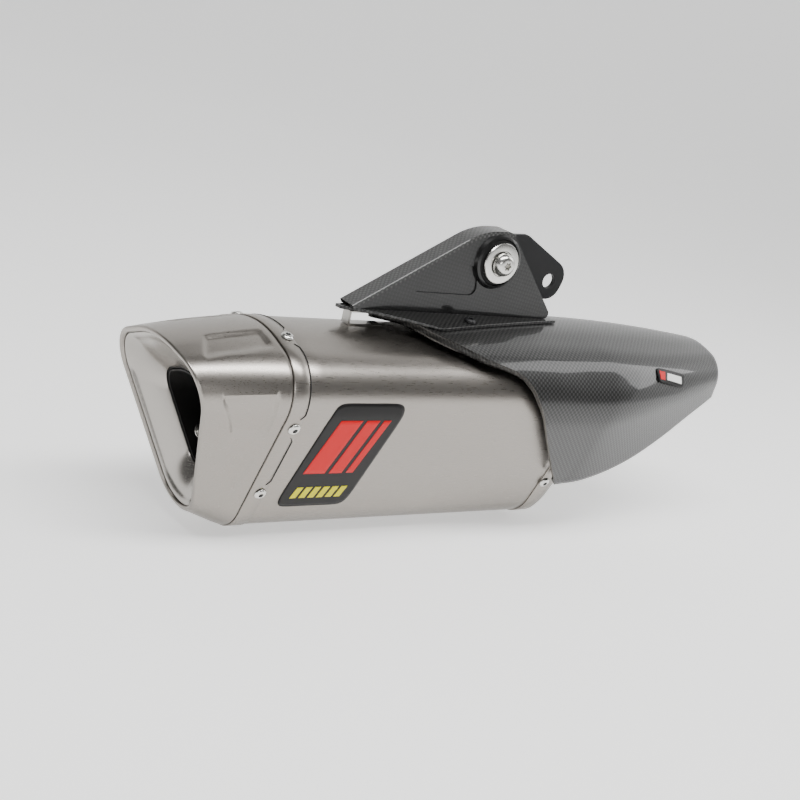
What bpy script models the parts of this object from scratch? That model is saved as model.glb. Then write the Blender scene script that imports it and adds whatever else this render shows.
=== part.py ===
"""Slip-on racing silencer with a carbon heat shield and a carbon hanger bracket.

Axes: +X runs forward, from the outlet towards the inlet; +Z is up; -Y is the outer side, away from the
motorcycle. The shapes are drawn in the can's own frame, whose origin is on the can's axis at the seam
between the end cap and the sleeve. An empty then moves them so that the world's origin is the middle of
the hanger bush, which is where the motorcycle carries the silencer. Units are metres.
"""

import math

import bmesh
import bpy
from mathutils import Quaternion, Vector

# ---- driving dimensions -------------------------------------------------------------------------------

GAP = 0.0003                      # clearance between pieces that touch
WALL = 0.0012                     # titanium sheet

SLEEVE_LENGTH = 0.290
# Corners of the can's section as (y, z, radius): the roof, the outer shoulder, the keel's two corners
# and the inner shoulder, which is the lower one.
SECTION_CORNERS = (
    (-0.0020, 0.0810, 0.100),
    (-0.0810, 0.0600, 0.0315),
    (-0.0205, -0.0827, 0.032),
    (0.0225, -0.0827, 0.032),
    (0.0795, 0.0505, 0.031),
)
FULL = (1.0, 1.0)
ARC_STEPS = 5
FLAT_STEP = 0.022                 # longest stretch between two points of a ring

SPIGOT_LENGTH = 0.016             # how far an end cap reaches into the sleeve
BAND_WIDTH = 0.0130
BAND_WALL = 0.0008
RIVET_INSET = 0.0088              # rivet line, from the sleeve's end
RIVET_WALKS = (-0.0025, 0.060, 0.126, 0.204, -0.190, -0.127, -0.065)
RIVET_HEAD_RADIUS = 0.0047
RIVET_SHANK_RADIUS = 0.0022
DRILL_TURN = 0.13                 # keeps a drill's flats off the edges of what it cuts

LIP_TOP_X = -0.0764               # x of the exit cut near its top
LIP_TOP_Z = 0.066
LIP_RAKE = 0.341                  # the cut moves forward by this much for each unit down
LIP_YAW = 0.103                   # and by this much for each unit outwards
LIP_SCALE = (0.836, 0.859)        # the lip's outline against the sleeve's, across and up
LIP_RADIUS = 0.0022
DISH_DEPTH = 0.018
MOUTH_SCALE = (0.47, 0.49)
DUCT_END_X = 0.020
DUCT_RADIUS = 0.030
DUCT_CENTRE_Z = 0.003
DUCT_LENGTH = 0.028
INSERT_GAP = 0.0009               # clearance round the insert
INSERT_NECK_RADIUS = 0.020
INSERT_END_X = 0.080
DAMPER_SCREW_X = -0.017
DAMPER_SCREW_Z = -0.017
DAMPER_WASHER_RADIUS = 0.0060

CORE_RADIUS = 0.0282
CORE_WALL = 0.0011
CORE_START_X = 0.036
CORE_END_X = 0.300
CORE_HOLE_RADIUS = 0.0042
CORE_HOLES_AROUND = 4
CORE_HOLES_ALONG = 4
BAFFLE_INSET = 0.021
WOOL_INSET = 0.024
WOOL_BORE = 0.0309

NECK_CENTRE_Z = 0.004
NECK_RADIUS = 0.0326
NECK_X = 0.338
NECK_LENGTH = 0.014
PIPE_RADIUS = 0.030
PIPE_WALL = 0.0015
PIPE_START_X = 0.341
PIPE_RIM_X = 0.440
SOCKET_CENTRE_Z = 0.030
SOCKET_SLOT_WIDTH = 0.0025
SOCKET_SLOT_LENGTH = 0.020

CLAMP_X = 0.431
CLAMP_WIDTH = 0.014
CLAMP_WALL = 0.0016
CLAMP_MOUTH = 0.007
CLAMP_EAR_WALL = 0.0025
CLAMP_EAR_REACH = 0.0145
CLAMP_BOLT_RADIUS = 0.0029

SHIELD_OFFSET = 0.0115            # shield's outer face above the sleeve
SHIELD_WALL = 0.0015
SHIELD_RIM = 0.0065               # how far the rear edge turns in
SHIELD_FRONT_X = 0.449
# The same corners at the shield's front edge: the roof and the two shoulders.
SHIELD_FRONT_CORNERS = ((0.0, 0.0815, 0.060), (-0.047, 0.068, 0.024), (0.047, 0.062, 0.024))
SHIELD_FRONT_LEAN = -0.10         # how far the side turns in, for each unit down, at the front edge
# Outer lower edge as (x, z).
SHIELD_LOW_EDGE = ((0.278, -0.0395), (0.310, -0.034), (0.350, -0.018), (0.388, 0.005), (0.415, 0.0215),
                   (0.449, 0.037))
SHIELD_FAR_REACH = 0.072          # how far the shield runs down the inner side, along its skin
# Rear edge as (distance from the crown along the skin, x).
SHIELD_REAR_EDGE = ((-0.072, 0.168), (-0.030, 0.122), (-0.008, 0.098), (0.010, 0.113), (0.040, 0.133),
                    (0.064, 0.164), (0.075, 0.192), (0.085, 0.204), (0.100, 0.2145), (0.133, 0.238),
                    (0.186, 0.280))

HANGER_X = 0.197
HANGER_Z = 0.1345
FIN_Y = -0.008                    # the middle of the bracket's web
FIN_WALL = 0.0025
FIN_FLANGE_Y = 0.008
BASE_OFFSET = 0.0143              # bracket base's outer face above the sleeve
BASE_WALL = 0.0024
BASE_TIP_X = 0.066
BASE_WIDE_X = 0.138
BASE_FRONT_X = 0.271
BASE_NEAR_Y = -0.037
BASE_FAR_Y = 0.030
# The web's outline as (x, z, radius).
FIN_CORNERS = (
    (0.0700, 0.0905, 0.0008),
    (0.1780, 0.1569, 0.060),
    (0.2070, 0.1580, 0.012),
    (0.2690, 0.0905, 0.004),
)
BOSS_RADIUS = 0.0212
BUSH_RADIUS = 0.0184
BUSH_BORE = 0.0084
COLLAR_BORE = 0.0053
COLLAR_RADIUS = 0.0081
HANGER_WASHER_RADIUS = 0.0163
MOUNT_BOLT_RADIUS = 0.0050
MOUNT_HEAD_RADIUS = 0.0093

PLATE_Y = 0.0113                  # near face of the hanger plate
PLATE_WALL = 0.004
PLATE_EYE_X = 0.274
PLATE_EYE_Z = 0.1168
PLATE_EYE_RADIUS = 0.0062
# The hanger plate's outline as (x, z, radius).
PLATE_CORNERS = (
    (0.178, 0.150, 0.014),
    (0.240, 0.1535, 0.008),
    (0.2925, 0.1270, 0.014),
    (0.2840, 0.0995, 0.014),
    (0.178, 0.116, 0.014),
)

SADDLE_X = (0.150, 0.262)
SADDLE_REACH = 0.030
SCREW_PLACES = ((0.172, -0.024), (0.172, 0.018), (0.244, 0.004))

LABEL_X = 0.0270
LABEL_LENGTH = 0.0615
LABEL_LEAN = 0.0085
LABEL_WALKS = (0.0435, 0.148)    # lower and upper edge, along the skin from the keel
BADGE_X = (0.347, 0.385)
BADGE_WALKS = (0.0645, 0.0765)     # distances from the shield's crown

# ---- scene and materials ------------------------------------------------------------------------------

OBJECT_NAME = "racing_silencer"


def clear_scene():
    """Remove what the file holds, so that a second run starts from nothing."""
    for item in list(bpy.data.objects):
        bpy.data.objects.remove(item, do_unlink=True)


def new_collection(name):
    """A collection linked to the scene."""
    found = bpy.data.collections.get(name) or bpy.data.collections.new(name)
    if name not in bpy.context.scene.collection.children:
        bpy.context.scene.collection.children.link(found)
    return found


def make_material(name, colour, metallic, roughness):
    """A plain Principled material in the piece's own colour."""
    material = bpy.data.materials.new(name)
    material.use_nodes = True
    shader = material.node_tree.nodes["Principled BSDF"]
    shader.inputs["Base Color"].default_value = (*colour, 1.0)
    shader.inputs["Metallic"].default_value = metallic
    shader.inputs["Roughness"].default_value = roughness
    return material


clear_scene()
PARTS = new_collection(OBJECT_NAME)
CUTTERS = new_collection(OBJECT_NAME + "_cutters")

TITANIUM = make_material("satin_titanium", (0.40, 0.38, 0.36), 1.0, 0.34)
SOOTED = make_material("sooted_steel", (0.012, 0.012, 0.012), 0.6, 0.55)
STAINLESS = make_material("stainless_steel", (0.55, 0.54, 0.52), 1.0, 0.25)
ZINC = make_material("zinc_plated_steel", (0.62, 0.62, 0.60), 1.0, 0.35)
CARBON = make_material("carbon_fibre", (0.022, 0.022, 0.021), 0.0, 0.18)
BLACK_STEEL = make_material("black_powder_coat", (0.010, 0.010, 0.010), 0.0, 0.42)
RUBBER = make_material("bush_rubber", (0.016, 0.016, 0.016), 0.0, 0.75)
WOOL = make_material("basalt_wool", (0.30, 0.26, 0.18), 0.0, 0.95)
PRINT = make_material("printed_label", (0.030, 0.028, 0.028), 0.0, 0.40)

can_frame = bpy.data.objects.new("can_frame", None)
can_frame.location = (-HANGER_X, 0.0, -HANGER_Z)
PARTS.objects.link(can_frame)

clamp_axis = bpy.data.objects.new("clamp_axis", None)
clamp_axis.location = (CLAMP_X, 0.0, SOCKET_CENTRE_Z)
clamp_axis.parent = can_frame
PARTS.objects.link(clamp_axis)

plate_axis = bpy.data.objects.new("plate_axis", None)
plate_axis.location = (HANGER_X, 0.0, HANGER_Z)
plate_axis.parent = can_frame
PARTS.objects.link(plate_axis)


# ---- general tools ------------------------------------------------------------------------------------

def add_object(name, data, material, parent=can_frame, collection=PARTS):
    """Link new object data under its frame with its material."""
    item = bpy.data.objects.new(name, data)
    collection.objects.link(item)
    item.parent = parent
    if material:
        data.materials.append(material)
    return item


def hide_cutter(item):
    """A cutter is drawn as wire and left out of renders."""
    item.hide_render = True
    item.display_type = "WIRE"
    return item


def add_boolean(item, cutter, operation):
    """Cut or join one solid with another, keeping the modifier."""
    modifier = item.modifiers.new(operation.lower() + "_" + cutter.name, "BOOLEAN")
    modifier.operation = operation
    modifier.object = hide_cutter(cutter)
    modifier.solver = "EXACT"


def smooth(item, angle=35.0):
    """Smooth shading with sharp edges kept."""
    item.data.shade_smooth()
    item.data.set_sharp_from_angle(angle=math.radians(angle))
    return item


def mix(a, b, t):
    """Linear blend."""
    return a + (b - a) * t


def mix_pair(a, b, t):
    """Linear blend of two pairs."""
    return mix(a[0], b[0], t), mix(a[1], b[1], t)


def fillet_outline(corners, steps=ARC_STEPS):
    """Closed outline with rounded corners, as (point, outward normal) pairs."""
    outline = []
    count = len(corners)
    for index in range(count):
        corner = Vector(corners[index][:2])
        radius = corners[index][2]
        back = (Vector(corners[index - 1][:2]) - corner).normalized()
        ahead = (Vector(corners[(index + 1) % count][:2]) - corner).normalized()
        half = math.acos(max(-1.0, min(1.0, back.dot(ahead)))) / 2
        centre = corner + (back + ahead).normalized() * radius / math.sin(half)
        first = corner + back * radius / math.tan(half) - centre
        last = corner + ahead * radius / math.tan(half) - centre
        start = math.atan2(first.y, first.x)
        turn = math.atan2(last.y, last.x) - start
        turn = (turn + math.pi) % (2 * math.pi) - math.pi
        for step in range(steps + 1):
            angle = start + turn * step / steps
            normal = Vector((math.cos(angle), math.sin(angle)))
            outline.append((centre + normal * radius, normal))
    return outline


def offset_corners(corners, offset):
    """The same rounded outline pushed outwards by an offset."""
    moved = []
    for index, (y, z, radius) in enumerate(corners):
        corner = Vector((y, z))
        before = (corner - Vector(corners[index - 1][:2])).normalized()
        after = (Vector(corners[(index + 1) % len(corners)][:2]) - corner).normalized()
        first = Vector((-before.y, before.x))
        second = Vector((-after.y, after.x))
        if first.dot(corner) < 0.0:
            first = -first
        if second.dot(corner) < 0.0:
            second = -second
        place = corner + (first + second) * offset / (1.0 + first.dot(second))
        moved.append((place.x, place.y, radius + offset))
    return moved


def divide_flats(outline, longest):
    """Add points along the flats, so that a ring can pass from this outline to a round one."""
    divided = []
    for index, (point, normal) in enumerate(outline):
        following, next_normal = outline[(index + 1) % len(outline)]
        pieces = math.ceil((following - point).length / longest)
        for piece in range(max(1, pieces)):
            share = piece / max(1, pieces)
            divided.append((point.lerp(following, share), normal.lerp(next_normal, share).normalized()))
    return divided


CAN_OUTLINE = divide_flats(fillet_outline(SECTION_CORNERS), FLAT_STEP)


def section(scale=FULL, offset=0.0):
    """The can's section as (y, z) points, scaled about its axis and offset along its normals."""
    across, up = scale
    return [Vector((p.x * across, p.y * up)) + normal * offset for p, normal in CAN_OUTLINE]


def circle_like_section(radius, centre_z):
    """A circle whose points face the section's points."""
    points = []
    for point, _ in CAN_OUTLINE:
        direction = point.normalized()
        points.append(Vector((direction.x * radius, centre_z + direction.y * radius)))
    return points


def blend_points(first, second, t):
    """Points part of the way from one outline to another."""
    return [a.lerp(b, t) for a, b in zip(first, second)]


def ring(points, x):
    """Place (y, z) points at x, which is a number or a function of y and z."""
    if callable(x):
        return [Vector((x(p.x, p.y), p.x, p.y)) for p in points]
    return [Vector((x, p.x, p.y)) for p in points]


def loft(name, rings, material, closed_around=True, closed_along=True, parent=can_frame):
    """Skin a list of equal rings. Closed both ways it is a tube wall; else it is an open sheet."""
    mesh = bpy.data.meshes.new(name)
    builder = bmesh.new()
    rows = [[builder.verts.new(point) for point in points] for points in rings]
    row_count = len(rows)
    point_count = len(rows[0])
    for i in range(row_count if closed_along else row_count - 1):
        for j in range(point_count if closed_around else point_count - 1):
            below = rows[i]
            above = rows[(i + 1) % row_count]
            k = (j + 1) % point_count
            builder.faces.new((below[j], below[k], above[k], above[j]))
    bmesh.ops.recalc_face_normals(builder, faces=builder.faces)
    if closed_around and closed_along and builder.calc_volume(signed=True) < 0.0:
        bmesh.ops.reverse_faces(builder, faces=builder.faces)
    builder.to_mesh(mesh)
    builder.free()
    return smooth(add_object(name, mesh, material, parent))


def add_solidify(item, thickness):
    """Give an open sheet its thickness, on the inner side."""
    modifier = item.modifiers.new("thickness", "SOLIDIFY")
    modifier.thickness = thickness
    modifier.offset = -1.0
    modifier.use_even_offset = True
    modifier.use_rim = True


def turned(name, profile, place, direction, material, steps=24, closed=False, parent=can_frame):
    """Turn a (radius, height) profile about an axis through place; height runs along direction."""
    mesh = bpy.data.meshes.new(name)
    points = [(radius, 0.0, height) for radius, height in profile]
    edges = [(i, i + 1) for i in range(len(points) - 1)]
    if closed:
        edges.append((len(points) - 1, 0))
    mesh.from_pydata(points, edges, [])
    item = add_object(name, mesh, material, parent)
    item.location = place
    item.rotation_mode = "QUATERNION"
    item.rotation_quaternion = Vector(direction).to_track_quat("Z", "Y")
    screw = item.modifiers.new("turn", "SCREW")
    screw.steps = steps
    screw.render_steps = steps
    screw.use_merge_vertices = True
    screw.merge_threshold = 0.00001
    screw.use_smooth_shade = False
    return item


def hex_nut(name, bore, corner_radius, height, place, direction, material, parent=can_frame):
    """A hexagon nut standing on place along direction, with a round bore."""
    sides = 6
    split = 3
    hexagon = []
    circle = []
    for side in range(sides):
        first = Vector((math.cos(side * math.pi / 3), math.sin(side * math.pi / 3)))
        last = Vector((math.cos((side + 1) * math.pi / 3), math.sin((side + 1) * math.pi / 3)))
        for step in range(split):
            point = first.lerp(last, step / split)
            hexagon.append(point * corner_radius)
            circle.append(point.normalized() * bore)
    rings = []
    for points, z in ((hexagon, 0.0), (hexagon, height), (circle, height), (circle, 0.0)):
        rings.append([Vector((point.x, point.y, z)) for point in points])
    nut = loft(name, rings, material, parent=parent)
    nut.location = place
    nut.rotation_mode = "QUATERNION"
    nut.rotation_quaternion = Vector(direction).to_track_quat("Z", "Y")
    return nut


def flat_curve(name, outlines, y, thickness, material, parent=can_frame, shift=(0.0, 0.0)):
    """Extruded flat shape in the XZ plane from rounded outlines; inner outlines are holes."""
    curve = bpy.data.curves.new(name, "CURVE")
    curve.dimensions = "2D"
    curve.fill_mode = "BOTH"
    curve.extrude = thickness / 2
    for outline in outlines:
        spline = curve.splines.new("POLY")
        spline.points.add(len(outline) - 1)
        for point, (x, z) in zip(spline.points, outline):
            point.co = (x - shift[0], z - shift[1], 0.0, 1.0)
        spline.use_cyclic_u = True
    source = bpy.data.objects.new(name + "_curve", curve)
    PARTS.objects.link(source)
    source.rotation_euler = (math.radians(90), 0.0, 0.0)
    bpy.context.view_layer.update()
    solid = source.evaluated_get(bpy.context.evaluated_depsgraph_get())
    mesh = bpy.data.meshes.new_from_object(solid)
    mesh.transform(source.matrix_world)
    bpy.data.objects.remove(source, do_unlink=True)
    builder = bmesh.new()
    builder.from_mesh(mesh)
    bmesh.ops.remove_doubles(builder, verts=builder.verts, dist=0.000001)
    bmesh.ops.recalc_face_normals(builder, faces=builder.faces)
    builder.to_mesh(mesh)
    builder.free()
    mesh.materials.clear()
    item = add_object(name, mesh, material, parent)
    item.location = (0.0, y, 0.0)
    return item


def circle_points(x, z, radius, steps=20):
    """A circle in the XZ plane."""
    turns = [2 * math.pi * i / steps for i in range(steps)]
    return [(x + radius * math.cos(a), z + radius * math.sin(a)) for a in turns]


def cylinder(name, radius, start, end, material, sides=16, parent=can_frame):
    """A cylinder between two points."""
    start = Vector(start)
    axis = Vector(end) - start
    mesh = bpy.data.meshes.new(name)
    builder = bmesh.new()
    bmesh.ops.create_cone(builder, cap_ends=True, segments=sides, radius1=radius, radius2=radius,
                          depth=axis.length)
    builder.to_mesh(mesh)
    builder.free()
    item = add_object(name, mesh, material, parent)
    item.location = start + axis / 2
    item.rotation_mode = "QUATERNION"
    item.rotation_quaternion = axis.to_track_quat("Z", "Y")
    return smooth(item)


def block(name, low, high, material, parent=can_frame):
    """A box between two corners."""
    low = Vector(low)
    high = Vector(high)
    mesh = bpy.data.meshes.new(name)
    builder = bmesh.new()
    bmesh.ops.create_cube(builder, size=1.0)
    bmesh.ops.scale(builder, vec=high - low, verts=builder.verts)
    builder.to_mesh(mesh)
    builder.free()
    item = add_object(name, mesh, material, parent)
    item.location = (low + high) / 2
    return item


def walk_outline(outline, distance):
    """Point and normal at a distance along a closed outline from its lowest point.

    A positive distance goes up the outer side, which is -Y.
    """
    count = len(outline)
    start = min(range(count), key=lambda i: (round(outline[i][0].y, 6), abs(outline[i][0].x)))
    ahead = outline[(start + 1) % count][0] - outline[start][0]
    step = 1 if (ahead.x < 0) == (distance >= 0) else -1
    left = abs(distance)
    index = start
    while True:
        here, normal = outline[index]
        there, next_normal = outline[(index + step) % count]
        length = (there - here).length
        if left <= length:
            t = left / length if length else 0.0
            return here.lerp(there, t), normal.lerp(next_normal, t).normalized()
        left -= length
        index = (index + step) % count


def walk_stations(outline, low, high):
    """Distances from low to high that stop at every point of the outline on the way."""
    count = len(outline)
    start = min(range(count), key=lambda i: (round(outline[i][0].y, 6), abs(outline[i][0].x)))
    ahead = outline[(start + 1) % count][0] - outline[start][0]
    step = 1 if ahead.x < 0 else -1
    stations = [low]
    distance = 0.0
    index = start
    while distance < high:
        following = (index + step) % count
        distance += (outline[following][0] - outline[index][0]).length
        index = following
        if low + 0.001 < distance < high - 0.001:
            stations.append(distance)
    stations.append(high)
    return stations


# ---- sleeve, bands and rivets -------------------------------------------------------------------------

def make_sleeve():
    """The titanium sleeve, a prism open at both ends."""
    end = SLEEVE_LENGTH
    return loft("sleeve", [
        ring(section(), 0.0),
        ring(section(), end),
        ring(section(offset=-WALL), end),
        ring(section(offset=-WALL), 0.0),
    ], TITANIUM)


def make_band(name, low, high):
    """A strap round one end of the sleeve, under the rivet heads."""
    inner = section(offset=GAP)
    outer = section(offset=GAP + BAND_WALL)
    return loft(name, [ring(outer, low), ring(outer, high), ring(inner, high), ring(inner, low)], TITANIUM)


def make_rivets(prefix, x, pieces):
    """Blind rivets through the band, the sleeve and the cap's spigot, with a hole for each."""
    seat = GAP * 2 + BAND_WALL
    profile = (
        (0.0, 0.0007), (0.0013, 0.0007), (0.0013, 0.0019), (0.0035, 0.0014), (RIVET_HEAD_RADIUS, 0.0),
        (RIVET_SHANK_RADIUS, 0.0), (RIVET_SHANK_RADIUS, -0.0052), (0.0, -0.0052),
    )
    drills = []
    for number, distance in enumerate(RIVET_WALKS, start=1):
        point, normal = walk_outline(CAN_OUTLINE, distance)
        place = Vector((x, point.x + normal.x * seat, point.y + normal.y * seat))
        direction = Vector((0.0, normal.x, normal.y))
        turned("%s_rivet_%d" % (prefix, number), profile, place, direction, ZINC, steps=10)
        drills.append((place + direction * 0.002, place - direction * 0.008))
    cutter = join_drills(prefix + "_rivet_drills", drills, RIVET_SHANK_RADIUS + GAP)
    for piece in pieces:
        add_boolean(piece, cutter, "DIFFERENCE")


def join_drills(name, drills, radius, sides=8):
    """One cutter that holds a cylinder for every (start, end) pair."""
    mesh = bpy.data.meshes.new(name)
    builder = bmesh.new()
    for start, end in drills:
        axis = end - start
        place = (axis.to_track_quat("Z", "Y") @ Quaternion((0.0, 0.0, 1.0), DRILL_TURN)).to_matrix().to_4x4()
        place.translation = start + axis / 2
        bmesh.ops.create_cone(builder, cap_ends=True, segments=sides, radius1=radius, radius2=radius,
                              depth=axis.length, matrix=place)
    builder.to_mesh(mesh)
    builder.free()
    return add_object(name, mesh, None, can_frame, CUTTERS)


# ---- end cap, dish and outlet -------------------------------------------------------------------------

def lip_x(y, z):
    """x of the exit cut, which rakes forward going down and faces a little inwards."""
    return LIP_TOP_X + (LIP_TOP_Z - z) * LIP_RAKE - y * LIP_YAW


def cap_ring(t, scale, offset=0.0, push=0.0):
    """A ring part of the way from the seam, t = 0, to the exit cut, t = 1."""
    return ring(section(scale, offset), lambda y, z: mix(-GAP, lip_x(y, z), t) + push)


def make_end_cap():
    """The tapered titanium end cap with its rolled lip and the spigot that fits the sleeve."""
    spigot_outer = section(offset=-WALL - GAP)
    spigot_inner = section(offset=-2 * WALL - GAP)
    rings = [ring(spigot_outer, SPIGOT_LENGTH), ring(spigot_outer, -GAP)]
    steps = 5
    for index in range(steps + 1):
        t = index / steps
        rings.append(cap_ring(t, mix_pair(FULL, LIP_SCALE, t ** 1.25)))
    rings.append(cap_ring(1.0, LIP_SCALE, -LIP_RADIUS * 0.35, -LIP_RADIUS * 0.8))
    rings.append(cap_ring(1.0, LIP_SCALE, -LIP_RADIUS, -LIP_RADIUS))
    rings.append(cap_ring(1.0, LIP_SCALE, -LIP_RADIUS * 1.65, -LIP_RADIUS * 0.8))
    rings.append(cap_ring(1.0, LIP_SCALE, -LIP_RADIUS * 2, 0.0))
    rings.append(cap_ring(1.0, LIP_SCALE, -WALL * 1.7, 0.0015))
    for index in reversed(range(steps)):
        t = index / steps
        skin = 2 * WALL + GAP if index == 0 else WALL
        rings.append(cap_ring(t, mix_pair(FULL, LIP_SCALE, t ** 1.25), -skin))
    rings.append(ring(spigot_inner, SPIGOT_LENGTH))
    return loft("end_cap", rings, TITANIUM)


def dish_ring(t, back=0.0):
    """A ring of the dish, from the lip, t = 0, to the mouth, t = 1."""
    scale = mix_pair(LIP_SCALE, MOUTH_SCALE, t)
    offset = mix(-2 * LIP_RADIUS - 3 * GAP, 0.0, min(1.0, t * 3))
    depth = DISH_DEPTH * (0.35 * t + 0.65 * t * t) + back
    return ring(section(scale, offset), lambda y, z: lip_x(y, z) + 0.0004 + depth)


def make_dish():
    """The funnel between the lip and the mouth."""
    stations = [0.0, 0.25, 0.5, 0.75, 1.0]
    front = [dish_ring(t) for t in stations]
    back = [dish_ring(t, WALL) for t in reversed(stations)]
    return loft("end_cap_dish", front + back, TITANIUM)


def mouth_x(y, z):
    """x where the outlet duct starts, just behind the dish."""
    return lip_x(y, z) + DISH_DEPTH + 0.0004 + WALL + GAP


def duct_ring(t, shrink):
    """A ring of the duct, from the mouth's shape, t = 0, to the round core, t = 1."""
    mouth = section(MOUTH_SCALE, -shrink)
    round_end = circle_like_section(DUCT_RADIUS - shrink, DUCT_CENTRE_Z)
    points = blend_points(mouth, round_end, t * t * (3 - 2 * t))
    return ring(points, lambda y, z: mix(mouth_x(y, z), DUCT_END_X, t))


def make_outlet_duct():
    """The outlet duct, from the shaped mouth to the round core."""
    stations = [0.0, 0.2, 0.4, 0.6, 0.8, 1.0]
    outer = [duct_ring(t, 0.0) for t in stations]
    inner = [duct_ring(t, WALL) for t in reversed(stations)]
    end_x = DUCT_END_X + DUCT_LENGTH
    tail = [
        ring(circle_like_section(DUCT_RADIUS, DUCT_CENTRE_Z), end_x),
        ring(circle_like_section(DUCT_RADIUS - WALL, DUCT_CENTRE_Z), end_x),
    ]
    return loft("outlet_duct", outer + tail + inner, SOOTED)


def make_noise_insert():
    """The removable insert inside the duct, which narrows to a small neck."""
    skin = WALL + INSERT_GAP
    stations = [0.0, 0.2, 0.4, 0.6, 0.8]
    outer = [duct_ring(t, skin) for t in stations]
    inner = [duct_ring(t, skin + WALL) for t in reversed(stations)]
    neck = INSERT_NECK_RADIUS
    neck_x = DUCT_END_X + 0.014
    tail = [
        ring(circle_like_section(neck, DUCT_CENTRE_Z), neck_x),
        ring(circle_like_section(neck - 0.001, DUCT_CENTRE_Z), INSERT_END_X),
        ring(circle_like_section(neck - 0.001 - WALL, DUCT_CENTRE_Z), INSERT_END_X),
        ring(circle_like_section(neck - WALL, DUCT_CENTRE_Z), neck_x),
    ]
    return loft("noise_insert", outer + tail + inner, SOOTED)


def far_wall_at(t, z):
    """Point on the insert's inner face at ring t on the far side, at height z."""
    points = duct_ring(t, 2 * WALL + INSERT_GAP)
    for here, there in zip(points, points[1:] + points[:1]):
        if here.y > 0.0 and there.y > 0.0 and min(here.z, there.z) <= z < max(here.z, there.z):
            return here.lerp(there, (z - here.z) / (there.z - here.z))
    return None


def duct_wall_at(x, z):
    """Point on the insert's inner face on the far side at a given x and z, and its inward normal."""
    step = 0.02
    t = min((i * step for i in range(1, 45)), key=lambda t: abs(far_wall_at(t, z).x - x))
    spot = far_wall_at(t, z)
    along = far_wall_at(t + step, z) - far_wall_at(t - step, z)
    upward = far_wall_at(t, z + 0.004) - far_wall_at(t, z - 0.004)
    normal = along.cross(upward).normalized()
    return spot, normal if normal.y < 0.0 else -normal


def make_damper_screw(duct, insert):
    """The screw that holds the insert, with its washer inside and its weld nut outside the duct."""
    spot, normal = duct_wall_at(DAMPER_SCREW_X, DAMPER_SCREW_Z)
    stand = 0.0011
    head_seat = spot + normal * (stand + 0.0010 + GAP)
    turned("damper_screw", (
        (0.0, 0.0012), (0.0021, 0.0012), (0.0021, 0.0038), (0.0040, 0.0038), (0.0046, 0.0030),
        (0.0046, 0.0), (0.0025, 0.0), (0.0025, -0.0120), (0.0, -0.0120),
    ), head_seat, normal, ZINC, steps=12)
    turned("damper_washer", (
        (0.0029, 0.0010), (DAMPER_WASHER_RADIUS, 0.0010), (DAMPER_WASHER_RADIUS, 0.0), (0.0029, 0.0),
    ), spot + normal * stand, normal, ZINC, steps=16, closed=True)
    nut_seat = spot - normal * (2 * WALL + INSERT_GAP + 0.0016)
    hex_nut("damper_weld_nut", 0.0029, 0.0060, 0.0050, nut_seat, -normal, STAINLESS)
    drill = join_drills("damper_drill", [(spot + normal * 0.004, spot - normal * 0.006)], 0.0031, sides=12)
    add_boolean(duct, drill, "DIFFERENCE")
    add_boolean(insert, drill, "DIFFERENCE")


# ---- core, wool and baffles ---------------------------------------------------------------------------

def make_baffle(name, x, bore):
    """A plate across the can with a round hole for the core."""
    outer = section(offset=-2 * WALL - 2 * GAP - 0.0003)
    inner = circle_like_section(bore, DUCT_CENTRE_Z)
    return loft(name, [ring(outer, x), ring(outer, x + WALL), ring(inner, x + WALL), ring(inner, x)],
                STAINLESS)


def make_wool():
    """The packing between the core and the sleeve."""
    outer = section(offset=-2 * WALL - 2 * GAP - 0.0006)
    inner = circle_like_section(WOOL_BORE, DUCT_CENTRE_Z)
    low = WOOL_INSET
    high = SLEEVE_LENGTH - WOOL_INSET
    return loft("packing_wool", [ring(outer, low), ring(outer, high), ring(inner, high), ring(inner, low)],
                WOOL)


def make_core():
    """The perforated tube that the gas runs through."""
    centre = (0.0, 0.0, DUCT_CENTRE_Z)
    length = CORE_END_X - CORE_START_X
    inner = CORE_RADIUS - CORE_WALL
    core = turned("perforated_core", (
        (inner, length), (CORE_RADIUS, length), (CORE_RADIUS, 0.0), (inner, 0.0),
    ), (CORE_START_X, 0.0, DUCT_CENTRE_Z), (1.0, 0.0, 0.0), STAINLESS, steps=24, closed=True)
    drills = []
    pitch = (length - 0.070) / (CORE_HOLES_ALONG - 1)
    for row in range(CORE_HOLES_ALONG):
        x = CORE_START_X + 0.045 + row * pitch
        for place in range(CORE_HOLES_AROUND // 2):
            angle = math.pi * (place + 0.5 * (row % 2)) / (CORE_HOLES_AROUND // 2)
            arm = Vector((0.0, math.cos(angle), math.sin(angle))) * (CORE_RADIUS + 0.002)
            middle = Vector((x, centre[1], centre[2]))
            drills.append((middle - arm, middle + arm))
    for row in range(CORE_HOLES_ALONG):
        for place in range(CORE_HOLES_AROUND // 2):
            cut = drills[row * (CORE_HOLES_AROUND // 2) + place]
            cutter = join_drills("core_drill_%d_%d" % (row, place), [cut], CORE_HOLE_RADIUS)
            add_boolean(core, cutter, "DIFFERENCE")
    return core


# ---- front cap and link pipe --------------------------------------------------------------------------

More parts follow.
